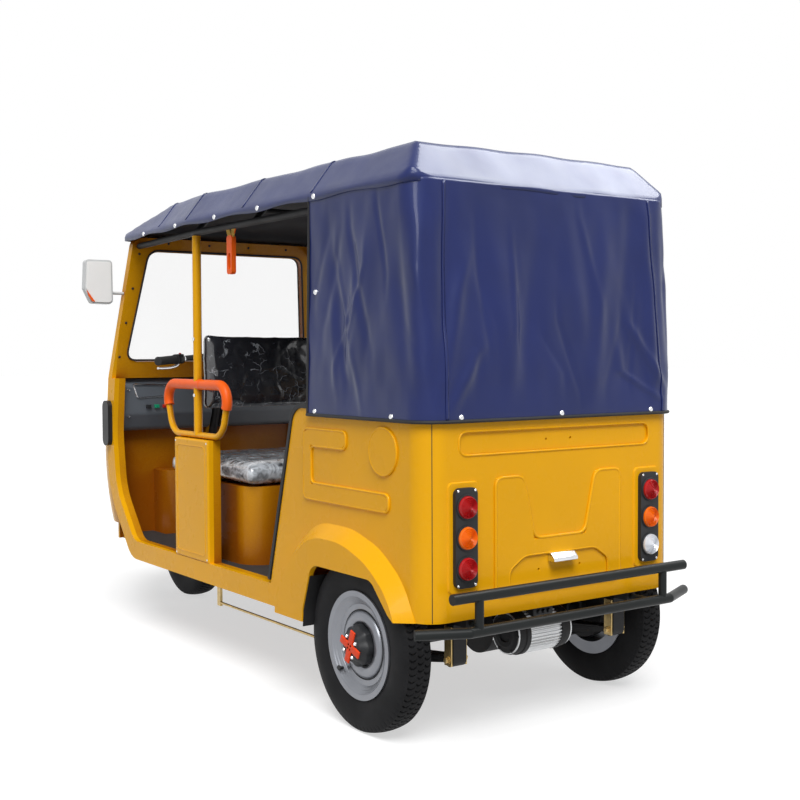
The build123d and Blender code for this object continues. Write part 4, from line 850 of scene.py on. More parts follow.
# padded seats, puffed by cloth and wrapped in crinkled film; rest names the axes that lie on something
pads = {
    "driver_cushion": {
        "name": "driverSeatPad", "finish": "sheenPaintedFilm", "rest": [2], "voxel": 0.010, "cap": 0.016, "inset": 0.006,
        "corner": 0.095,
    },
    "driver_backrest": {
        "name": "driverBackPad", "finish": "filmedVinyl", "rest": [], "voxel": 0.008, "cap": 0.012, "inset": 0.003,
        "corner": 0.028, "half": 0.4665,
    },
    "bench_cushion": {
        "name": "benchSeatPad", "finish": "sheenPaintedFilm", "rest": [2], "voxel": 0.010, "cap": 0.016, "inset": 0.010,
        "corner": 0.040,
    },
    "bench_backrest": {
        "name": "benchBackPad", "finish": "filmedVinyl", "rest": [0, 2], "voxel": 0.010, "cap": 0.014, "inset": 0.010,
        "corner": 0.030,
    },
}
puffing = {"quality": 4, "mass": 0.25, "pressure": 4.0, "steps": 20, "fold": 0.0016, "ridge": 0.0072, "slack": 0.006}


def padBlock(name, low, high, voxel, corner):
    kit = bmesh.new()
    size = high - low
    boxInto(kit, (low + high) / 2, size, min(corner, 0.45 * min(size)))
    mesh = bpy.data.meshes.new(name)
    kit.to_mesh(mesh)
    kit.free()
    block = bpy.data.objects.new(name, mesh)
    bpy.context.scene.collection.objects.link(block)
    cells = block.modifiers.new("cells", "REMESH")
    cells.mode = "VOXEL"
    cells.voxel_size = voxel
    bpy.context.view_layer.update()
    graph = bpy.context.evaluated_depsgraph_get()
    fine = bpy.data.meshes.new_from_object(block.evaluated_get(graph))
    bpy.data.objects.remove(block)
    return fine


def coords(mesh):
    flatList = np.zeros(len(mesh.vertices) * 3, np.float32)
    mesh.vertices.foreach_get("co", flatList)
    return flatList.reshape(-1, 3).astype(float)


def puff(mesh, cap):
    block = bpy.data.objects.new("puffing", mesh)
    bpy.context.scene.collection.objects.link(block)
    start = coords(mesh)
    cloth = block.modifiers.new("cloth", "CLOTH")
    cloth.settings.quality = puffing["quality"]
    cloth.settings.mass = puffing["mass"]
    cloth.settings.use_pressure = True
    cloth.settings.uniform_pressure_force = puffing["pressure"]
    cloth.settings.effector_weights.gravity = 0.0
    scene = bpy.context.scene
    for step in range(1, puffing["steps"] + 1):
        scene.frame_set(step)
    graph = bpy.context.evaluated_depsgraph_get()
    swollen = bpy.data.meshes.new_from_object(block.evaluated_get(graph))
    moved = coords(swollen) - start
    far = np.linalg.norm(moved, axis=1, keepdims=True)
    moved = moved * np.minimum(1.0, cap / np.maximum(far, 1e-9))
    scene.frame_set(1)
    bpy.data.objects.remove(block)
    return start + moved


def makePad(node, settings):
    low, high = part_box(node)
    if "half" in settings:
        low.y, high.y = -settings["half"], settings["half"]
    inner = Vector([settings["inset"]] * 3)
    mesh = padBlock(settings["name"], low + inner, high - inner, settings["voxel"], settings["corner"])
    least, most = np.array(low), np.array(high)
    shaped = puff(mesh, settings["cap"])
    # the swollen pad fills its seat again
    bottom, top = shaped.min(axis=0), shaped.max(axis=0)
    shaped = least + (shaped - bottom) / (top - bottom) * (most - least)
    # loose film: soft folds with sharper ridges
    for index, point in enumerate(shaped):
        seed = Vector(point)
        fold = noise.noise(seed * 9) + 0.6 * noise.noise(seed * 21 + Vector((3, 1, 7)))
        ridge = 1 - abs(noise.noise(seed * 13 + Vector((5, 2, 1))))
        away = np.array(mesh.vertices[index].normal)
        shaped[index] += away * (puffing["fold"] * fold + puffing["ridge"] * max(0.0, ridge - 0.75))
    shaped = np.clip(shaped, least - puffing["slack"], most + puffing["slack"])
    for axis in settings["rest"]:
        shaped[:, axis] = np.maximum(shaped[:, axis], least[axis] + 0.0005)
    mesh.vertices.foreach_set("co", shaped.astype(np.float32).ravel())
    mesh.update()
    mesh.materials.clear()
    piece = addPiece(settings["name"], mesh, settings["finish"], "chassis", 0)
    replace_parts(piece, node)


for padNode, padSettings in pads.items():
    makePad(padNode, padSettings)
print("seats padded")

# tyres: curved slots cut into the tread, notches round the shoulders, two thin ribs on each sidewall
tread = {
    "radius": 0.2725, "crown": 0.2674, "half": 0.051, "shoulder": 0.0408, "bead": 0.160, "beadTop": 0.1703,
    "beadHalf": 0.040, "around": 624, "sidePoints": 17, "topPoints": 46, "pitch": 78, "depth": 0.0055,
    "slotHalf": 0.0029, "slotBow": 0.34, "rows": [-0.0262, 0.0, 0.0262], "rowHalf": 0.0118,
    "notchLow": 0.250, "notchHalf": 0.0042, "notchShare": 0.7,
    "ribs": [(0.196, 0.200), (0.232, 0.236)], "ribRise": 0.0012,
}


def arcThrough(a, b, c, count):
    (x1, y1), (x2, y2), (x3, y3) = a, b, c
    d = 2 * (x1 * (y2 - y3) + x2 * (y3 - y1) + x3 * (y1 - y2))
    s1, s2, s3 = x1 * x1 + y1 * y1, x2 * x2 + y2 * y2, x3 * x3 + y3 * y3
    cx = (s1 * (y2 - y3) + s2 * (y3 - y1) + s3 * (y1 - y2)) / d
    cy = (s1 * (x3 - x2) + s2 * (x1 - x3) + s3 * (x2 - x1)) / d
    radius = hypot(x1 - cx, y1 - cy)
    first = np.arctan2(y1 - cy, x1 - cx)
    last = np.arctan2(y3 - cy, x3 - cx)
    sweep = (last - first + pi) % (2 * pi) - pi
    angles = first + np.linspace(0, sweep, count)
    return list(zip(cx + radius * np.cos(angles), cy + radius * np.sin(angles)))


def tyreProfile():
    low, high = (-tread["beadHalf"], tread["beadTop"]), (-tread["shoulder"], tread["crown"])
    belly = (-tread["half"], (tread["beadTop"] + tread["crown"]) / 2)
    left = arcThrough(low, belly, high, tread["sidePoints"])
    top = arcThrough(high, (0, tread["radius"]), (tread["shoulder"], tread["crown"]), tread["topPoints"])
    right = [(-y, r) for y, r in reversed(left)]
    return [(-tread["beadHalf"], tread["bead"])] + left + top[1:-1] + right + [(tread["beadHalf"], tread["bead"])]


def treadCut(y, r, turn):
    cut = np.zeros_like(turn)
    step = 2 * pi / tread["pitch"]
    length = step * tread["radius"]
    if abs(y) < tread["shoulder"]:
        for index, row in enumerate(tread["rows"]):
            inside = abs(y - row) / tread["rowHalf"]
            if inside < 1:
                phase = turn / step + 0.5 * (index % 2) + tread["slotBow"] * inside ** 2
                near = np.abs(phase - np.round(phase)) * length
                cut = np.maximum(cut, ease(tread["slotHalf"] - near, 0.0, 0.0014) * min(1.0, (1 - inside) / 0.12))
    elif r > tread["notchLow"]:
        phase = turn / step + tread["slotBow"]
        near = np.abs(phase - np.round(phase)) * length
        fade = min(1.0, (r - tread["notchLow"]) / 0.008)
        cut = ease(tread["notchHalf"] - near, 0.0, 0.002) * fade * tread["notchShare"]
    return cut * tread["depth"]


def makeTyre(name, node, center, body):
    profile = tyreProfile()
    around = tread["around"]
    turn = np.linspace(0, 2 * pi, around, endpoint=False)
    verts, faces = [], []
    for y, r in profile:
        rib = tread["ribRise"] if any(low < r < high for low, high in tread["ribs"]) else 0.0
        across = y + (rib if y > 0 else -rib)
        for angle, far in zip(turn, r - treadCut(y, r, turn)):
            verts.append(center + Vector((far * cos(angle), across, far * sin(angle))))
    count = len(profile)
    for row in range(count):
        here, there = row * around, (row + 1) % count * around
        for column in range(around):
            after = (column + 1) % around
            faces.append((here + column, here + after, there + after, there + column))
    mesh = bpy.data.meshes.new(name)
    mesh.from_pydata(verts, [], faces)
    mesh.flip_normals()
    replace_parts(addPiece(name, mesh, "tyreRubber", body, 38), node)


wheelHeight = 0.2725
halfTrack = 0.495
wheelBase = 2.290
makeTyre("tyreFront", "tyre_front", spot(wheelBase, 0, wheelHeight), "front_wheel")
makeTyre("tyreRearLeft", "tyre_rear_left", spot(0, halfTrack, wheelHeight), "rear_wheel_left")
makeTyre("tyreRearRight", "tyre_rear_right", spot(0, -halfTrack, wheelHeight), "rear_wheel_right")
print("tyres made")

# hub covers, bolts, pressed rings and valves on the rear wheels
hub = {
    "face": 0.039, "coverRadius": 0.064, "coverRise": 0.032, "coverSteps": 80, "lobes": 8, "swell": 0.05,
    "arm": 0.054, "armWidth": 0.024, "armThick": 0.007, "armLift": 0.0020, "armBevel": 0.0030, "turn": 0.35,
    "boltRing": 0.034, "bolt": [(0, 0.007), (0.0045, 0.007), (0.006, 0.005), (0.006, -0.002)],
    # share of the radius and lift from the face: a cup, hollow behind where the fixed spindle ends
    "cover": [
        (0.0, 0.010), (0.86, 0.010), (0.88, -0.020), (1.0, -0.020), (1.0, 0.006), (0.96, 0.012), (0.82, 0.020),
        (0.72, 0.029), (0.66, 0.032), (0.0, 0.032),
    ],
    # radius and reach from the wheel's middle plane: the lip's lines, the raised disc, the groove round it, painted
    # black as painted shade
    "lipRings": [
        (0.1512, 0.0440), (0.1505, 0.0468), (0.1480, 0.0462), (0.1465, 0.0425), (0.1440, 0.0410), (0.1425, 0.0398),
        (0.1405, 0.0385), (0.1390, 0.0358), (0.1365, 0.0345), (0.1350, 0.0332), (0.1335, 0.0322), (0.1318, 0.0300),
        (0.1290, 0.0285), (0.1270, 0.0255),
    ],
    "disc": [
        (0.1075, 0.0190), (0.1062, 0.0225), (0.1035, 0.0275), (0.0985, 0.0318), (0.0910, 0.0342), (0.0820, 0.0345),
        (0.0740, 0.0325), (0.0680, 0.0285), (0.0640, 0.0215),
    ],
    "groove": [(0.1105, 0.0228), (0.1100, 0.0246), (0.1085, 0.0250), (0.1068, 0.0240), (0.1062, 0.0215)],
    "valve": (0.102, 0.040, -0.094), "valveRadius": 0.0055, "valveCap": 0.0068,
}


def makeHub(sideName, side):
    body, tag = "rear_wheel_" + sideName, sideName.title()
    out = Vector((0, side, 0))
    wheelMiddle = spot(0, side * halfTrack, wheelHeight)
    face = spot(0, side * (halfTrack + hub["face"]), wheelHeight)
    # a lobed cover: its edge swells at eight places
    kit = bmesh.new()
    rings = []
    for share, lift in hub["cover"]:
        ring = []
        for step in range(hub["coverSteps"]):
            turn = 2 * pi * step / hub["coverSteps"]
            reach = hub["coverRadius"] * share * (1 + hub["swell"] * cos(hub["lobes"] * turn) * share)
            ring.append(kit.verts.new(face + Vector((cos(turn), 0, sin(turn))) * reach + out * lift))
        rings.append(ring)
    for low, high in zip(rings, rings[1:]):
        bridge(kit, low, high)
    bmesh.ops.remove_doubles(kit, verts=kit.verts, dist=0.0001)
    closeKit(kit, "hubCover" + tag, "blackPlastic", body)
    arms, bolts = bmesh.new(), bmesh.new()
    for index in range(4):
        turn = hub["turn"] + index * pi / 2
        along = Vector((cos(turn), 0, sin(turn)))
        spin = Matrix((along, out, along.cross(out))).transposed()
        place = face + out * (hub["coverRise"] + hub["armLift"]) + along * hub["arm"] / 2
        boxInto(arms, place, (hub["arm"], hub["armThick"], hub["armWidth"]), hub["armBevel"], spin)
        between = turn + pi / 4
        place = face + Vector((cos(between), 0, sin(between))) * hub["boltRing"] + out * hub["coverRise"]
        spinInto(bolts, place, out, hub["bolt"], 6)
    closeKit(arms, "hubCross" + tag, "hubOrange", body)
    closeKit(bolts, "hubBolts" + tag, "brightSteel", body)
    kit = bmesh.new()
    for rings in ("lipRings", "disc"):
        spinInto(kit, wheelMiddle, out, hub[rings], 96)
    closeKit(kit, "rimRings" + tag, "silverSteel", body, 60)
    # the groove ring is painted black: painted shade in the groove
    kit = bmesh.new()
    spinInto(kit, wheelMiddle, out, hub["groove"], 96)
    closeKit(kit, "rimGrooveShade" + tag, "underBlack", body, 60)
    kit = bmesh.new()
    station, reach, rise = hub["valve"]
    root = spot(station, side * (halfTrack + reach), wheelHeight + rise)
    stem = [root - out * 0.022, root, root + out * 0.008 + Vector((-0.006, 0, 0.005))]
    tubeInto(kit, stem, hub["valveRadius"], 10)
    tubeInto(kit, [root + out * 0.006, root + out * 0.016 + Vector((-0.010, 0, 0.008))], hub["valveCap"], 10)
    closeKit(kit, "valve" + tag, "blackRubber", body)


for sideName, side in zip(("left", "right"), sides):
    makeHub(sideName, side)
print("wheels dressed")

# tail lamps
lamp = {
    "half": 0.387, "rows": [0.729, 0.638, 0.547], "seat": -0.355, "radius": 0.034, "rise": 0.018,
    "rings": 6, "ringOuter": 0.0315, "ringPitch": 0.0049, "ringLow": 0.0105, "ringStep": 0.0016,
    "bezel": [(0.0345, 0), (0.0345, 0.004), (0.0375, 0.004), (0.0385, 0.0025), (0.0385, 0)],
    "screw": [(0, 0.0025), (0.0028, 0.0022), (0.004, 0.001), (0.004, -0.001)],
    "screwAcross": 0.032, "screwHeights": (0.498, 0.778),
    # finish, slot, the node it stands for, side and row of each lens
    "lenses": {
        "tailRed": ("redLens", "red_lens", "red_lenses", [(1, 0), (1, 2), (-1, 0)]),
        "tailAmber": ("amberLens", "amber_lens", "amber_lenses", [(1, 1), (-1, 1)]),
        "tailClear": ("clearLens", "clear_lens", "clear_lens", [(-1, 2)]),
    },
}


def ringedLens():
    profile = [(lamp["radius"], -0.001), (lamp["radius"], 0.006), (lamp["radius"] - 0.0015, 0.010)]
    for ring in range(lamp["rings"]):
        outer = lamp["ringOuter"] - ring * lamp["ringPitch"]
        lift = lamp["ringLow"] + lamp["ringStep"] * ring
        profile += [(outer, lift), (outer - 0.0016, lift + 0.0034), (outer - 0.0040, lift + 0.0004)]
    return profile + [(0.0, lamp["rise"] + 0.0015)]


def lampSpot(side, row):
    return spot(lamp["seat"], side * lamp["half"], lamp["rows"][row])


def makeLamps():
    for name, (finishName, slotName, node, places) in lamp["lenses"].items():
        kit = bmesh.new()
        for side, row in places:
            spinInto(kit, lampSpot(side, row), rearward, ringedLens(), 40)
        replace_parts(closeKit(kit, name, finishName, "chassis", 30), node)
    bezels, screws = bmesh.new(), bmesh.new()
    for side in sides:
        for row in range(len(lamp["rows"])):
            spinInto(bezels, lampSpot(side, row), rearward, lamp["bezel"], 40)
        for across in (-lamp["screwAcross"], lamp["screwAcross"]):
            for height in lamp["screwHeights"]:
                spinInto(screws, spot(lamp["seat"], side * lamp["half"] + across, height), rearward, lamp["screw"], 14)
    closeKit(bezels, "lampBezels", "blackPlastic", "chassis")
    closeKit(screws, "lampScrews", "brightSteel", "chassis")


makeLamps()
print("tail lamps made")

# small fittings on the dashboard
dash = {
    "face": 1.997, "recess": [(0.425, 1.047), (0.240, 1.040), (0.262, 0.990), (0.405, 0.985)], "trim": 0.0035,
    "switches": [
        ("switchGreen", "greenPlastic", 0.312),
        ("switchRed", "redPlastic", 0.272), ("switchBlack", "blackPlastic", 0.352),
    ],
    "switchHeight": 0.945, "switchSize": (0.014, 0.022, 0.016),
    "bolts": [(0.446, 0.902), (-0.446, 0.902), (0.446, 1.02), (-0.446, 1.02)],
    "bolt": [(0, 0.004), (0.005, 0.003), (0.007, 0), (0.007, -0.002)],
}


def makeDash():
    kit = bmesh.new()
    for side in sides:
        loop = [spot(dash["face"] - 0.001, side * y, z) for y, z in dash["recess"]]
        loop = [loop[i].lerp(loop[(i + 1) % 4], t) for i in range(4) for t in (0.06, 0.35, 0.65, 0.94)]
        tubeInto(kit, loop, dash["trim"], 8, closed=True)
    closeKit(kit, "dashTrim", "brightSteel", "chassis")
    for name, finishName, y in dash["switches"]:
        kit = bmesh.new()
        boxInto(kit, spot(dash["face"] - 0.004, y, dash["switchHeight"]), dash["switchSize"], 0.002)
        closeKit(kit, name, finishName, "chassis")
    kit = bmesh.new()
    for y, z in dash["bolts"]:
        spinInto(kit, spot(dash["face"], y, z), rearward, dash["bolt"], 16)
    closeKit(kit, "dashBolts", "brightSteel", "chassis")


makeDash()
print("dashboard dressed")

# doorway guards: sleeves over the poles, bolts, pressed panel line and strap webbing
guard = {
    "half": 0.494, "pole": 1.195, "poleRadius": 0.0165, "top": 1.062, "sleeve": 0.0208, "sleeveHalf": 0.036,
    "boltHeights": [1.020, 1.240], "face": 0.5275, "station": 1.197, "width": 0.295, "low": 0.378, "high": 0.850,
    "inset": 0.026, "edge": 0.012, "rivetShift": 0.135, "rivet": 0.004, "corner": 0.02, "line": 0.0024,
    "strap": 0.905, "strapSpread": 0.026, "strapTop": 1.650, "strapFoot": 1.600, "strapWidth": 0.0225,
    "strapThick": 0.0062,
}


def makeGuards():
    grips, bolts, lines, straps = (bmesh.new() for _ in range(4))
    reach = guard["width"] / 2 - guard["inset"]
    low, high = guard["low"] + guard["inset"], guard["high"] - guard["inset"]
    across = Vector((0, 1, 0))
    for side in sides:
        y, out = side * guard["half"], (0, side, 0)
        run = [spot(guard["pole"] + guard["sleeveHalf"] * k / 4, y, guard["top"]) for k in range(-4, 5)]
        tubeInto(grips, run, guard["sleeve"], 24)
        for height in guard["boltHeights"]:
            boltInto(bolts, spot(guard["pole"], side * (guard["half"] + guard["poleRadius"]), height), out)
        for height in (guard["low"] + guard["edge"], guard["high"] - guard["edge"]):
            for shift in (-guard["rivetShift"], guard["rivetShift"]):
                boltInto(bolts, spot(guard["station"] + shift, side * guard["face"], height), out, guard["rivet"])
        loop = roundLoop([(-reach, low), (reach, low), (reach, high), (-reach, high)], guard["corner"])
        loop = [spot(guard["station"] + x, side * guard["face"], z) for x, z in loop]
        tubeInto(lines, loop, guard["line"], 8, closed=True)
        for lean in (1, -1):
            top = spot(guard["strap"] + lean * guard["strapSpread"], y, guard["strapTop"])
            foot = spot(guard["strap"], y, guard["strapFoot"])
            along = (top - foot).normalized()
            turn = Matrix((along.cross(across), across, along)).transposed()
            size = (guard["strapWidth"], guard["strapThick"], (top - foot).length)
            boxInto(straps, (top + foot) / 2, size, 0.0015, turn)
    closeKit(grips, "gripBridges", "orangePlastic", "chassis")
    closeKit(bolts, "guardBolts", "brightSteel", "chassis")
    closeKit(lines, "guardLines", "yellowPaint", "chassis")
    closeKit(straps, "strapWebbing", "yellowWebbing", "chassis")


makeGuards()
print("doorway guards dressed")

# drive motor: lengthwise fins, end bells and a terminal box
motor = {
    "station": -0.150, "height": 0.2725, "radius": 0.0685, "low": -0.1656, "high": 0.0644,
    "fins": 40, "finRise": 0.0045,
    "bell": 0.048, "bellRadius": 0.0705, "lap": 0.004, "bellBolts": 6, "bellBolt": 0.006,
    "box": (-0.035, -0.045, 0.070), "boxSize": (0.055, 0.085, 0.030), "gland": (-0.060, -0.045, 0.070),
    "glands": [-0.022, 0.0, 0.022], "glandShape": [(0.008, 0), (0.008, 0.006), (0.006, 0.010), (0, 0.010)],
}


def makeMotor():
    middle = spot(motor["station"], 0, motor["height"])
    kit = bmesh.new()
    rings = []
    low, high = motor["low"] + motor["bell"] - motor["lap"], motor["high"] - motor["bell"] + motor["lap"]
    steps = motor["fins"] * 4
    for y in (low, high):
        ring = []
        for step in range(steps):
            turn = 2 * pi * step / steps
            radius = motor["radius"] + (motor["finRise"] if step % 4 < 2 else 0.0)
            ring.append(kit.verts.new(middle + Vector((cos(turn) * radius, y, sin(turn) * radius))))
        rings.append(ring)
    bridge(kit, *rings)
    for ring in rings:
        kit.faces.new(ring)
    closeKit(kit, "motorFins", "motorAlloy", "chassis", 20)
    kit = bmesh.new()
    reach = motor["bellRadius"]
    profile = [
        (0, 0.002), (reach * 0.35, 0.002), (reach * 0.4, 0.006), (reach * 0.62, 0.006), (reach * 0.68, 0.002),
        (reach * 0.90, 0.001), (reach, -0.008), (reach, -0.030),
        (reach + 0.004, -0.032), (reach + 0.004, -motor["bell"]),
    ]
    for place, out in ((motor["low"], (0, -1, 0)), (motor["high"], (0, 1, 0))):
        spinInto(kit, middle + Vector((0, place, 0)), out, profile, 48)
        for index in range(motor["bellBolts"]):
            turn = 2 * pi * index / motor["bellBolts"]
            bolt = middle + Vector((cos(turn) * reach * 0.86, place, sin(turn) * reach * 0.86))
            boltInto(kit, bolt, out, motor["bellBolt"])
    closeKit(kit, "motorBells", "underBlack", "chassis")
    kit = bmesh.new()
    boxInto(kit, middle + Vector(motor["box"]), motor["boxSize"], 0.006)
    for shift in motor["glands"]:
        spinInto(kit, middle + Vector(motor["gland"]) + Vector((0, shift, 0)), rearward, motor["glandShape"], 14)
    closeKit(kit, "motorTerminals", "blackPlastic", "chassis")


makeMotor()

# leaf springs: leaf edges, U-bolts, shackle plates with their pins
spring = {
    "half": 0.340, "width": 0.050, "rear": -0.240, "front": 0.430, "eye": 0.250, "plate": 0.005, "plateWidth": 0.036,
    "shackleTop": 0.335, "pinDrop": 0.006, "packFoot": 0.208, "boltStations": [-0.045, 0.045], "boltHalf": 0.030,
    "boltRadius": 0.006, "archFoot": 0.300, "archRise": 0.014,
    "leafHeight": 0.235, "leafLow": 0.225, "leafThick": 0.0065,
    "rearPin": [(0, 0.012), (0.007, 0.012), (0.0095, 0.010), (0.0095, 0.004), (0.013, 0.003), (0.013, 0)],
    "frontPin": [(0, 0.012), (0.008, 0.012), (0.011, 0.009), (0.011, 0), (0.0, 0)],
    # reach and drop of each leaf, each shorter than the one above
    "leaves": [(0.30, 0.004), (0.22, 0.013), (0.14, 0.022)],
}


def boltRun(station, middle):
    legs = []
    for edge in (-1, 1):
        y = middle + edge * spring["boltHalf"]
        legs.append([spot(station, y, spring["packFoot"] - 0.012 + 0.1 * k / 6) for k in range(7)])
    arch = []
    for step in range(1, 12):
        turn = pi * step / 12
        height = spring["archFoot"] + spring["archRise"] * sin(turn)
        arch.append(spot(station, middle - spring["boltHalf"] * cos(turn), height))
    return legs[0] + arch + legs[1][::-1]


def leafInto(kit, middle, reach, drop, end):
    limit = spring["front"] if end > 0 else -spring["rear"]
    far = min(reach, limit * 0.8)
    rise = (spring["eye"] - spring["leafLow"]) * far / limit
    start = spot(0.02 * end, middle, spring["leafHeight"] - drop)
    stop = spot(end * far, middle, spring["leafHeight"] - drop * 0.6 + rise)
    along = (stop - start).normalized()
    across = Vector((0, 1, 0))
    turn = Matrix((along, across, along.cross(across))).transposed()
    size = ((stop - start).length, spring["width"] + 0.003, spring["leafThick"])
    boxInto(kit, (start + stop) / 2, size, 0.0015, turn)


def makeSprings():
    plates, pins, bolts = bmesh.new(), bmesh.new(), bmesh.new()
    thick = spring["plate"]
    for side in sides:
        middle = side * spring["half"]
        for edge in (1, -1):
            y = middle + edge * (spring["width"] / 2 + thick / 2 + 0.0005)
            out = (0, edge, 0)
            place = spot(spring["rear"], y, (spring["eye"] + spring["shackleTop"]) / 2)
            tall = spring["shackleTop"] - spring["eye"] + spring["plateWidth"]
            boxInto(plates, place, (spring["plateWidth"], thick, tall), 0.002)
            for height in (spring["eye"], spring["shackleTop"] - spring["pinDrop"]):
                spinInto(pins, spot(spring["rear"], y + edge * thick / 2, height), out, spring["rearPin"], 6)
            spinInto(pins, spot(spring["front"], y, spring["eye"]), out, spring["frontPin"], 6)
        for station in spring["boltStations"]:
            tubeInto(bolts, boltRun(station, middle), spring["boltRadius"], 10)
        boxInto(bolts, spot(0, middle, spring["packFoot"] - 0.006), (0.13, 0.075, 0.008), 0.002)
        for reach, drop in spring["leaves"]:
            for end in (1, -1):
                leafInto(bolts, middle, reach, drop, end)
    closeKit(plates, "shacklePlates", "yellowZinc", "chassis")
    closeKit(pins, "shacklePins", "yellowZinc", "chassis")
    closeKit(bolts, "springBolts", "underBlack", "chassis")


makeSprings()
print("running gear dressed")

# pressed shapes on the tub get rounded edges; seams and the plate lamp follow
tub = {
    "rear": -0.3375, "side": 0.5275, "bead": 0.0052, "fineBead": 0.00364, "sideBead": 0.0046,
    "crest": [
        (-0.262, 0.450), (-0.262, 0.805), (-0.152, 0.805), (-0.107, 0.610),
        (0.107, 0.610), (0.152, 0.805), (0.262, 0.805), (0.262, 0.450),
    ],
    "plate": [(-0.210, 0.450), (-0.210, 0.520), (-0.150, 0.560), (0.150, 0.560), (0.210, 0.520), (0.210, 0.450)],
    "slot": [(-0.400, 0.8785), (0.400, 0.8785), (0.400, 0.9495), (-0.400, 0.9495)],
    "bars": [
        (0.335, 0.702), (-0.155, 0.702), (-0.155, 0.756), (0.290, 0.756),
        (0.290, 0.878), (0.080, 0.878), (0.080, 0.934), (0.334, 0.934),
    ],
    "disc": (-0.125, 0.885), "discRadius": 0.072, "cornerX": -0.255, "cornerY": 0.445, "cornerRadius": 0.080,
    "seamTurn": 34, "seamFoot": 0.392, "seamRise": 0.606, "seam": 0.0013,
}
plateLamp = {
    "outline": [(-0.3355, 0.5600), (-0.3500, 0.5600), (-0.3670, 0.5440), (-0.3685, 0.5330), (-0.3355, 0.5322)],
    "half": 0.050, "bevel": 0.0028, "screw": (-0.3580, 0.032, 0.5530), "screwOut": (-0.7, 0, 0.7), "screwSize": 0.004,
}


def makeTub():
    kit = bmesh.new()
    rear, fine = tub["rear"], tub["fineBead"]
    tubeInto(kit, [spot(rear, y, z) for y, z in roundLoop(tub["crest"], 0.03)], tub["bead"], 12, closed=True)
    tubeInto(kit, [spot(rear - 0.001, y, z) for y, z in roundLoop(tub["plate"], 0.02)], fine, 12, closed=True)
    tubeInto(kit, [spot(rear + 0.003, y, z) for y, z in roundLoop(tub["slot"], 0.034, 10)], fine, 12, closed=True)
    turns = [2 * pi * k / 48 for k in range(48)]
    (discX, discZ), reach = tub["disc"], tub["discRadius"]
    for side in sides:
        y = side * tub["side"]
        bars = [spot(x, y, z) for x, z in roundLoop(tub["bars"], 0.022)]
        ring = [spot(discX + reach * cos(turn), y, discZ + reach * sin(turn)) for turn in turns]
        for loop in (bars, ring):
            tubeInto(kit, loop, tub["sideBead"], 12, closed=True)
    closeKit(kit, "pressedEdges", "yellowPaint", "chassis", 60)
    kit = bmesh.new()
    turn = radians(tub["seamTurn"])
    for side in sides:
        x = tub["cornerX"] - tub["cornerRadius"] * cos(turn)
        y = side * (tub["cornerY"] + tub["cornerRadius"] * sin(turn))
        tubeInto(kit, [spot(x, y, tub["seamFoot"] + tub["seamRise"] * k / 20) for k in range(21)], tub["seam"], 8)
    closeKit(kit, "tubSeams", "underBlack", "chassis")
    kit = bmesh.new()
    prismInto(kit, *([spot(x, y, z) for x, z in plateLamp["outline"]] for y in (-plateLamp["half"], plateLamp["half"])))
    edges = list(kit.edges)
    bmesh.ops.bevel(kit, geom=edges, offset=plateLamp["bevel"], segments=3, profile=0.6, affect="EDGES")
    x, half, z = plateLamp["screw"]
    for y in (-half, half):
        boltInto(kit, spot(x, y, z), plateLamp["screwOut"], plateLamp["screwSize"])
    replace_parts(closeKit(kit, "plateLampCover", "brightSteel", "chassis"), "plate_lamp")


makeTub()

# black strips on the front lips of the rear wheel arches: painted shade, a dark sheet where the arch's inside lies in
# shade
archShade = {
    "path": [(0.2841, 0.2840), (0.2800, 0.3230), (0.2786, 0.3391), (0.2600, 0.3930), (0.2374, 0.4579)],
    "thick": 0.002, "inner": 0.400, "outer": 0.568,
}


def makeArchShadeStrips():
    kit = bmesh.new()
    inner, outer, thick = archShade["inner"], archShade["outer"], archShade["thick"]
    for side in sides:
        rings = []
        for x, z in archShade["path"]:
            corners = [(x, inner), (x, outer), (x - thick, outer), (x - thick, inner)]
            rings.append([kit.verts.new(spot(far, side * y, z)) for far, y in corners])
        for low, high in zip(rings, rings[1:]):
            bridge(kit, low, high)
        kit.faces.new(rings[0])
        kit.faces.new(rings[-1])
    closeKit(kit, "archShadeStrips", "underBlack", "chassis")


makeArchShadeStrips()
print("tub dressed")

# handlebar: ribbed grips, switch pods and levers; all ride the steering
bar = {
    "bend": (1.933, 0.060, 1.1747), "end": (1.735, 0.418, 1.151), "grip": 0.125, "pod": 0.150, "leverDrop": 0.034,
    "lever": 0.0052, "ribs": 18, "ribStart": 0.006, "ribPitch": 0.0064, "ribFoot": 0.0174, "ribTop": 0.0186,
    "flange": [(0.0130, -0.002), (0.0225, -0.002), (0.0225, 0.003), (0.0180, 0.004)],
    "gripEnd": [(0.0195, 0.122), (0.0195, 0.127), (0.0150, 0.129), (0.0, 0.129)],
    "podShape": [
        (0.0126, -0.020), (0.0190, -0.020), (0.0215, -0.017), (0.0215, 0.012), (0.0190, 0.015), (0.0126, 0.015),
    ],
    "podBox": (0.024, 0.026, 0.012), "button": [(0.006, 0), (0.006, 0.004), (0.004, 0.005), (0, 0.005)],
    "clamp": [(0.0130, -0.030), (0.0170, -0.030), (0.0170, -0.022), (0.0130, -0.022)],
}


def gripShape():
    profile = list(bar["flange"])
    foot, top = bar["ribFoot"], bar["ribTop"]
    for rib in range(bar["ribs"]):
        base = bar["ribStart"] + rib * bar["ribPitch"]
        profile += [(foot, base), (top, base + 0.0016), (top, base + 0.0036), (foot, base + 0.0050)]
    return profile + bar["gripEnd"]


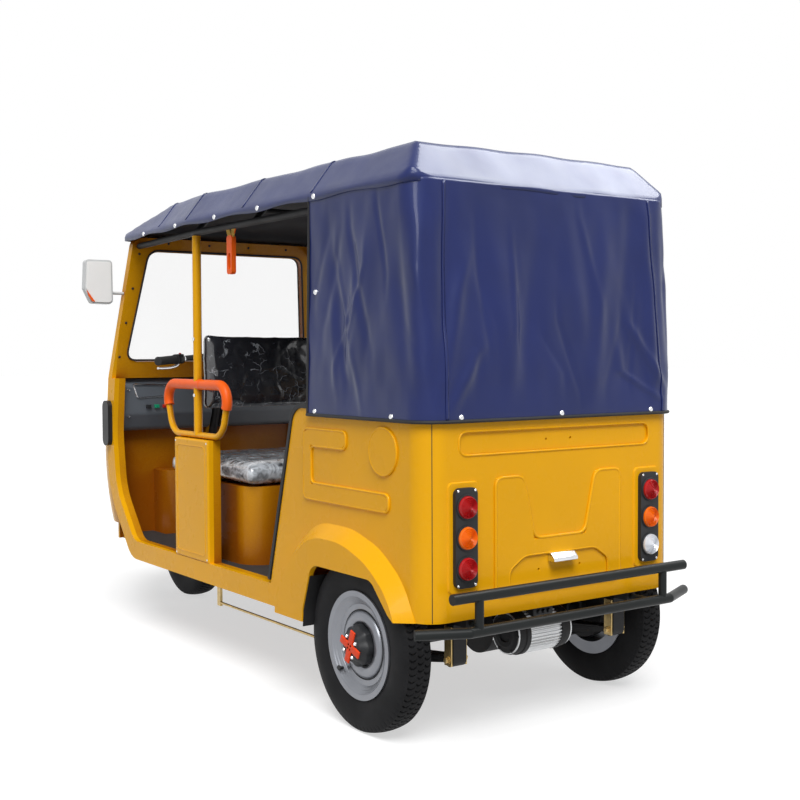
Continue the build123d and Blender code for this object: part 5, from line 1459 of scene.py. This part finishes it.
def makeBar():
    grips, podKit, levers, caps = (bmesh.new() for _ in range(4))
    for side in sides:
        bend, end = (spot(x, side * y, z) for x, y, z in (bar["bend"], bar["end"]))
        along = (end - bend).normalized()
        spinInto(grips, end - along * bar["grip"], along, gripShape(), 32)
        pod = end - along * bar["pod"]
        spinInto(podKit, pod, along, bar["podShape"], 28)
        boxInto(podKit, pod + Vector((-0.012, 0, 0.016)), bar["podBox"], 0.003)
        spinInto(caps, pod + Vector((-0.012, 0, 0.022)), (0, 0, 1), bar["button"], 16)
        drop = Vector((0.004, 0, -bar["leverDrop"]))
        run = [pod + Vector((0, 0, -0.014))]
        run += [pod + drop * fall + along * far for fall, far in ((0.8, 0.012), (1, 0.050), (1, 0.110), (0.9, 0.150))]
        tubeInto(levers, smoothRun(run, 6), bar["lever"], 10)
        spinInto(levers, pod, along, bar["clamp"], 24)
    closeKit(grips, "barGrips", "blackRubber", "steering")
    closeKit(podKit, "barPods", "blackPlastic", "steering")
    closeKit(levers, "barLevers", "brightSteel", "steering")
    closeKit(caps, "barButtons", "redPlastic", "steering")


makeBar()
print("handlebar dressed")

# windscreen: rubber seal and frame screws
screen = {
    "station": 2.036, "foot": 1.075, "lean": 0.21256, "depth": 0.0368, "low": (0.462, 1.155), "high": (0.390, 1.640),
    "corner": 0.05, "seal": 0.0042, "screw": 0.0055, "sideShares": [0.12, 0.38, 0.64, 0.90],
    "topHeight": 1.672, "topPlaces": [-0.30, -0.10, 0.10, 0.30],
}


def screenSpot(y, height, shift=0.0):
    return spot(screen["station"] - (height - screen["foot"]) * screen["lean"] + shift, y, height)


def makeScreen():
    (lowY, lowZ), (highY, highZ) = screen["low"], screen["high"]
    loop = roundLoop([(-lowY, lowZ), (lowY, lowZ), (highY, highZ), (-highY, highZ)], screen["corner"], 8)
    kit = bmesh.new()
    for shift in (0.0, -screen["depth"]):
        tubeInto(kit, [screenSpot(y, z, shift) for y, z in loop], screen["seal"], 10, closed=True)
    closeKit(kit, "screenSeal", "blackRubber", "chassis")
    kit = bmesh.new()
    inward = Vector((-1, 0, -screen["lean"])).normalized()
    places = [(side * (0.503 - 0.076 * share), 1.10 + 0.58 * share) for side in sides for share in screen["sideShares"]]
    places += [(y, screen["topHeight"]) for y in screen["topPlaces"]]
    for y, height in places:
        boltInto(kit, screenSpot(y, height, -screen["depth"]), inward, screen["screw"])
    closeKit(kit, "screenScrews", "underBlack", "chassis")


makeScreen()

# headlamps and mirrors
front = {
    "lampX": 2.614, "lampHalf": 0.165, "lampHeight": 0.850, "mirrorX": 1.9175, "cornerThick": 0.004,
    "ring": [
        (0.0700, -0.004), (0.0700, 0.006), (0.0735, 0.0085), (0.0790, 0.007), (0.0822, 0.001), (0.0822, -0.016),
        (0.0795, -0.018),
    ],
    "corner": [(0.6650, 1.4600), (0.6560, 1.4330), (0.6400, 1.4110), (0.6280, 1.4100), (0.6480, 1.4370)],
}


def makeFront():
    rings, corners = bmesh.new(), bmesh.new()
    faces = (front["mirrorX"], front["mirrorX"] - front["cornerThick"])
    for side in sides:
        place = spot(front["lampX"], side * front["lampHalf"], front["lampHeight"])
        spinInto(rings, place, (1, 0, 0), front["ring"], 56)
        prismInto(corners, *([spot(x, side * y, z) for y, z in front["corner"]] for x in faces))
    closeKit(rings, "headlampRings", "brightSteel", "chassis")
    closeKit(corners, "mirrorCorners", "orangePlastic", "chassis")


makeFront()
print("front dressed")
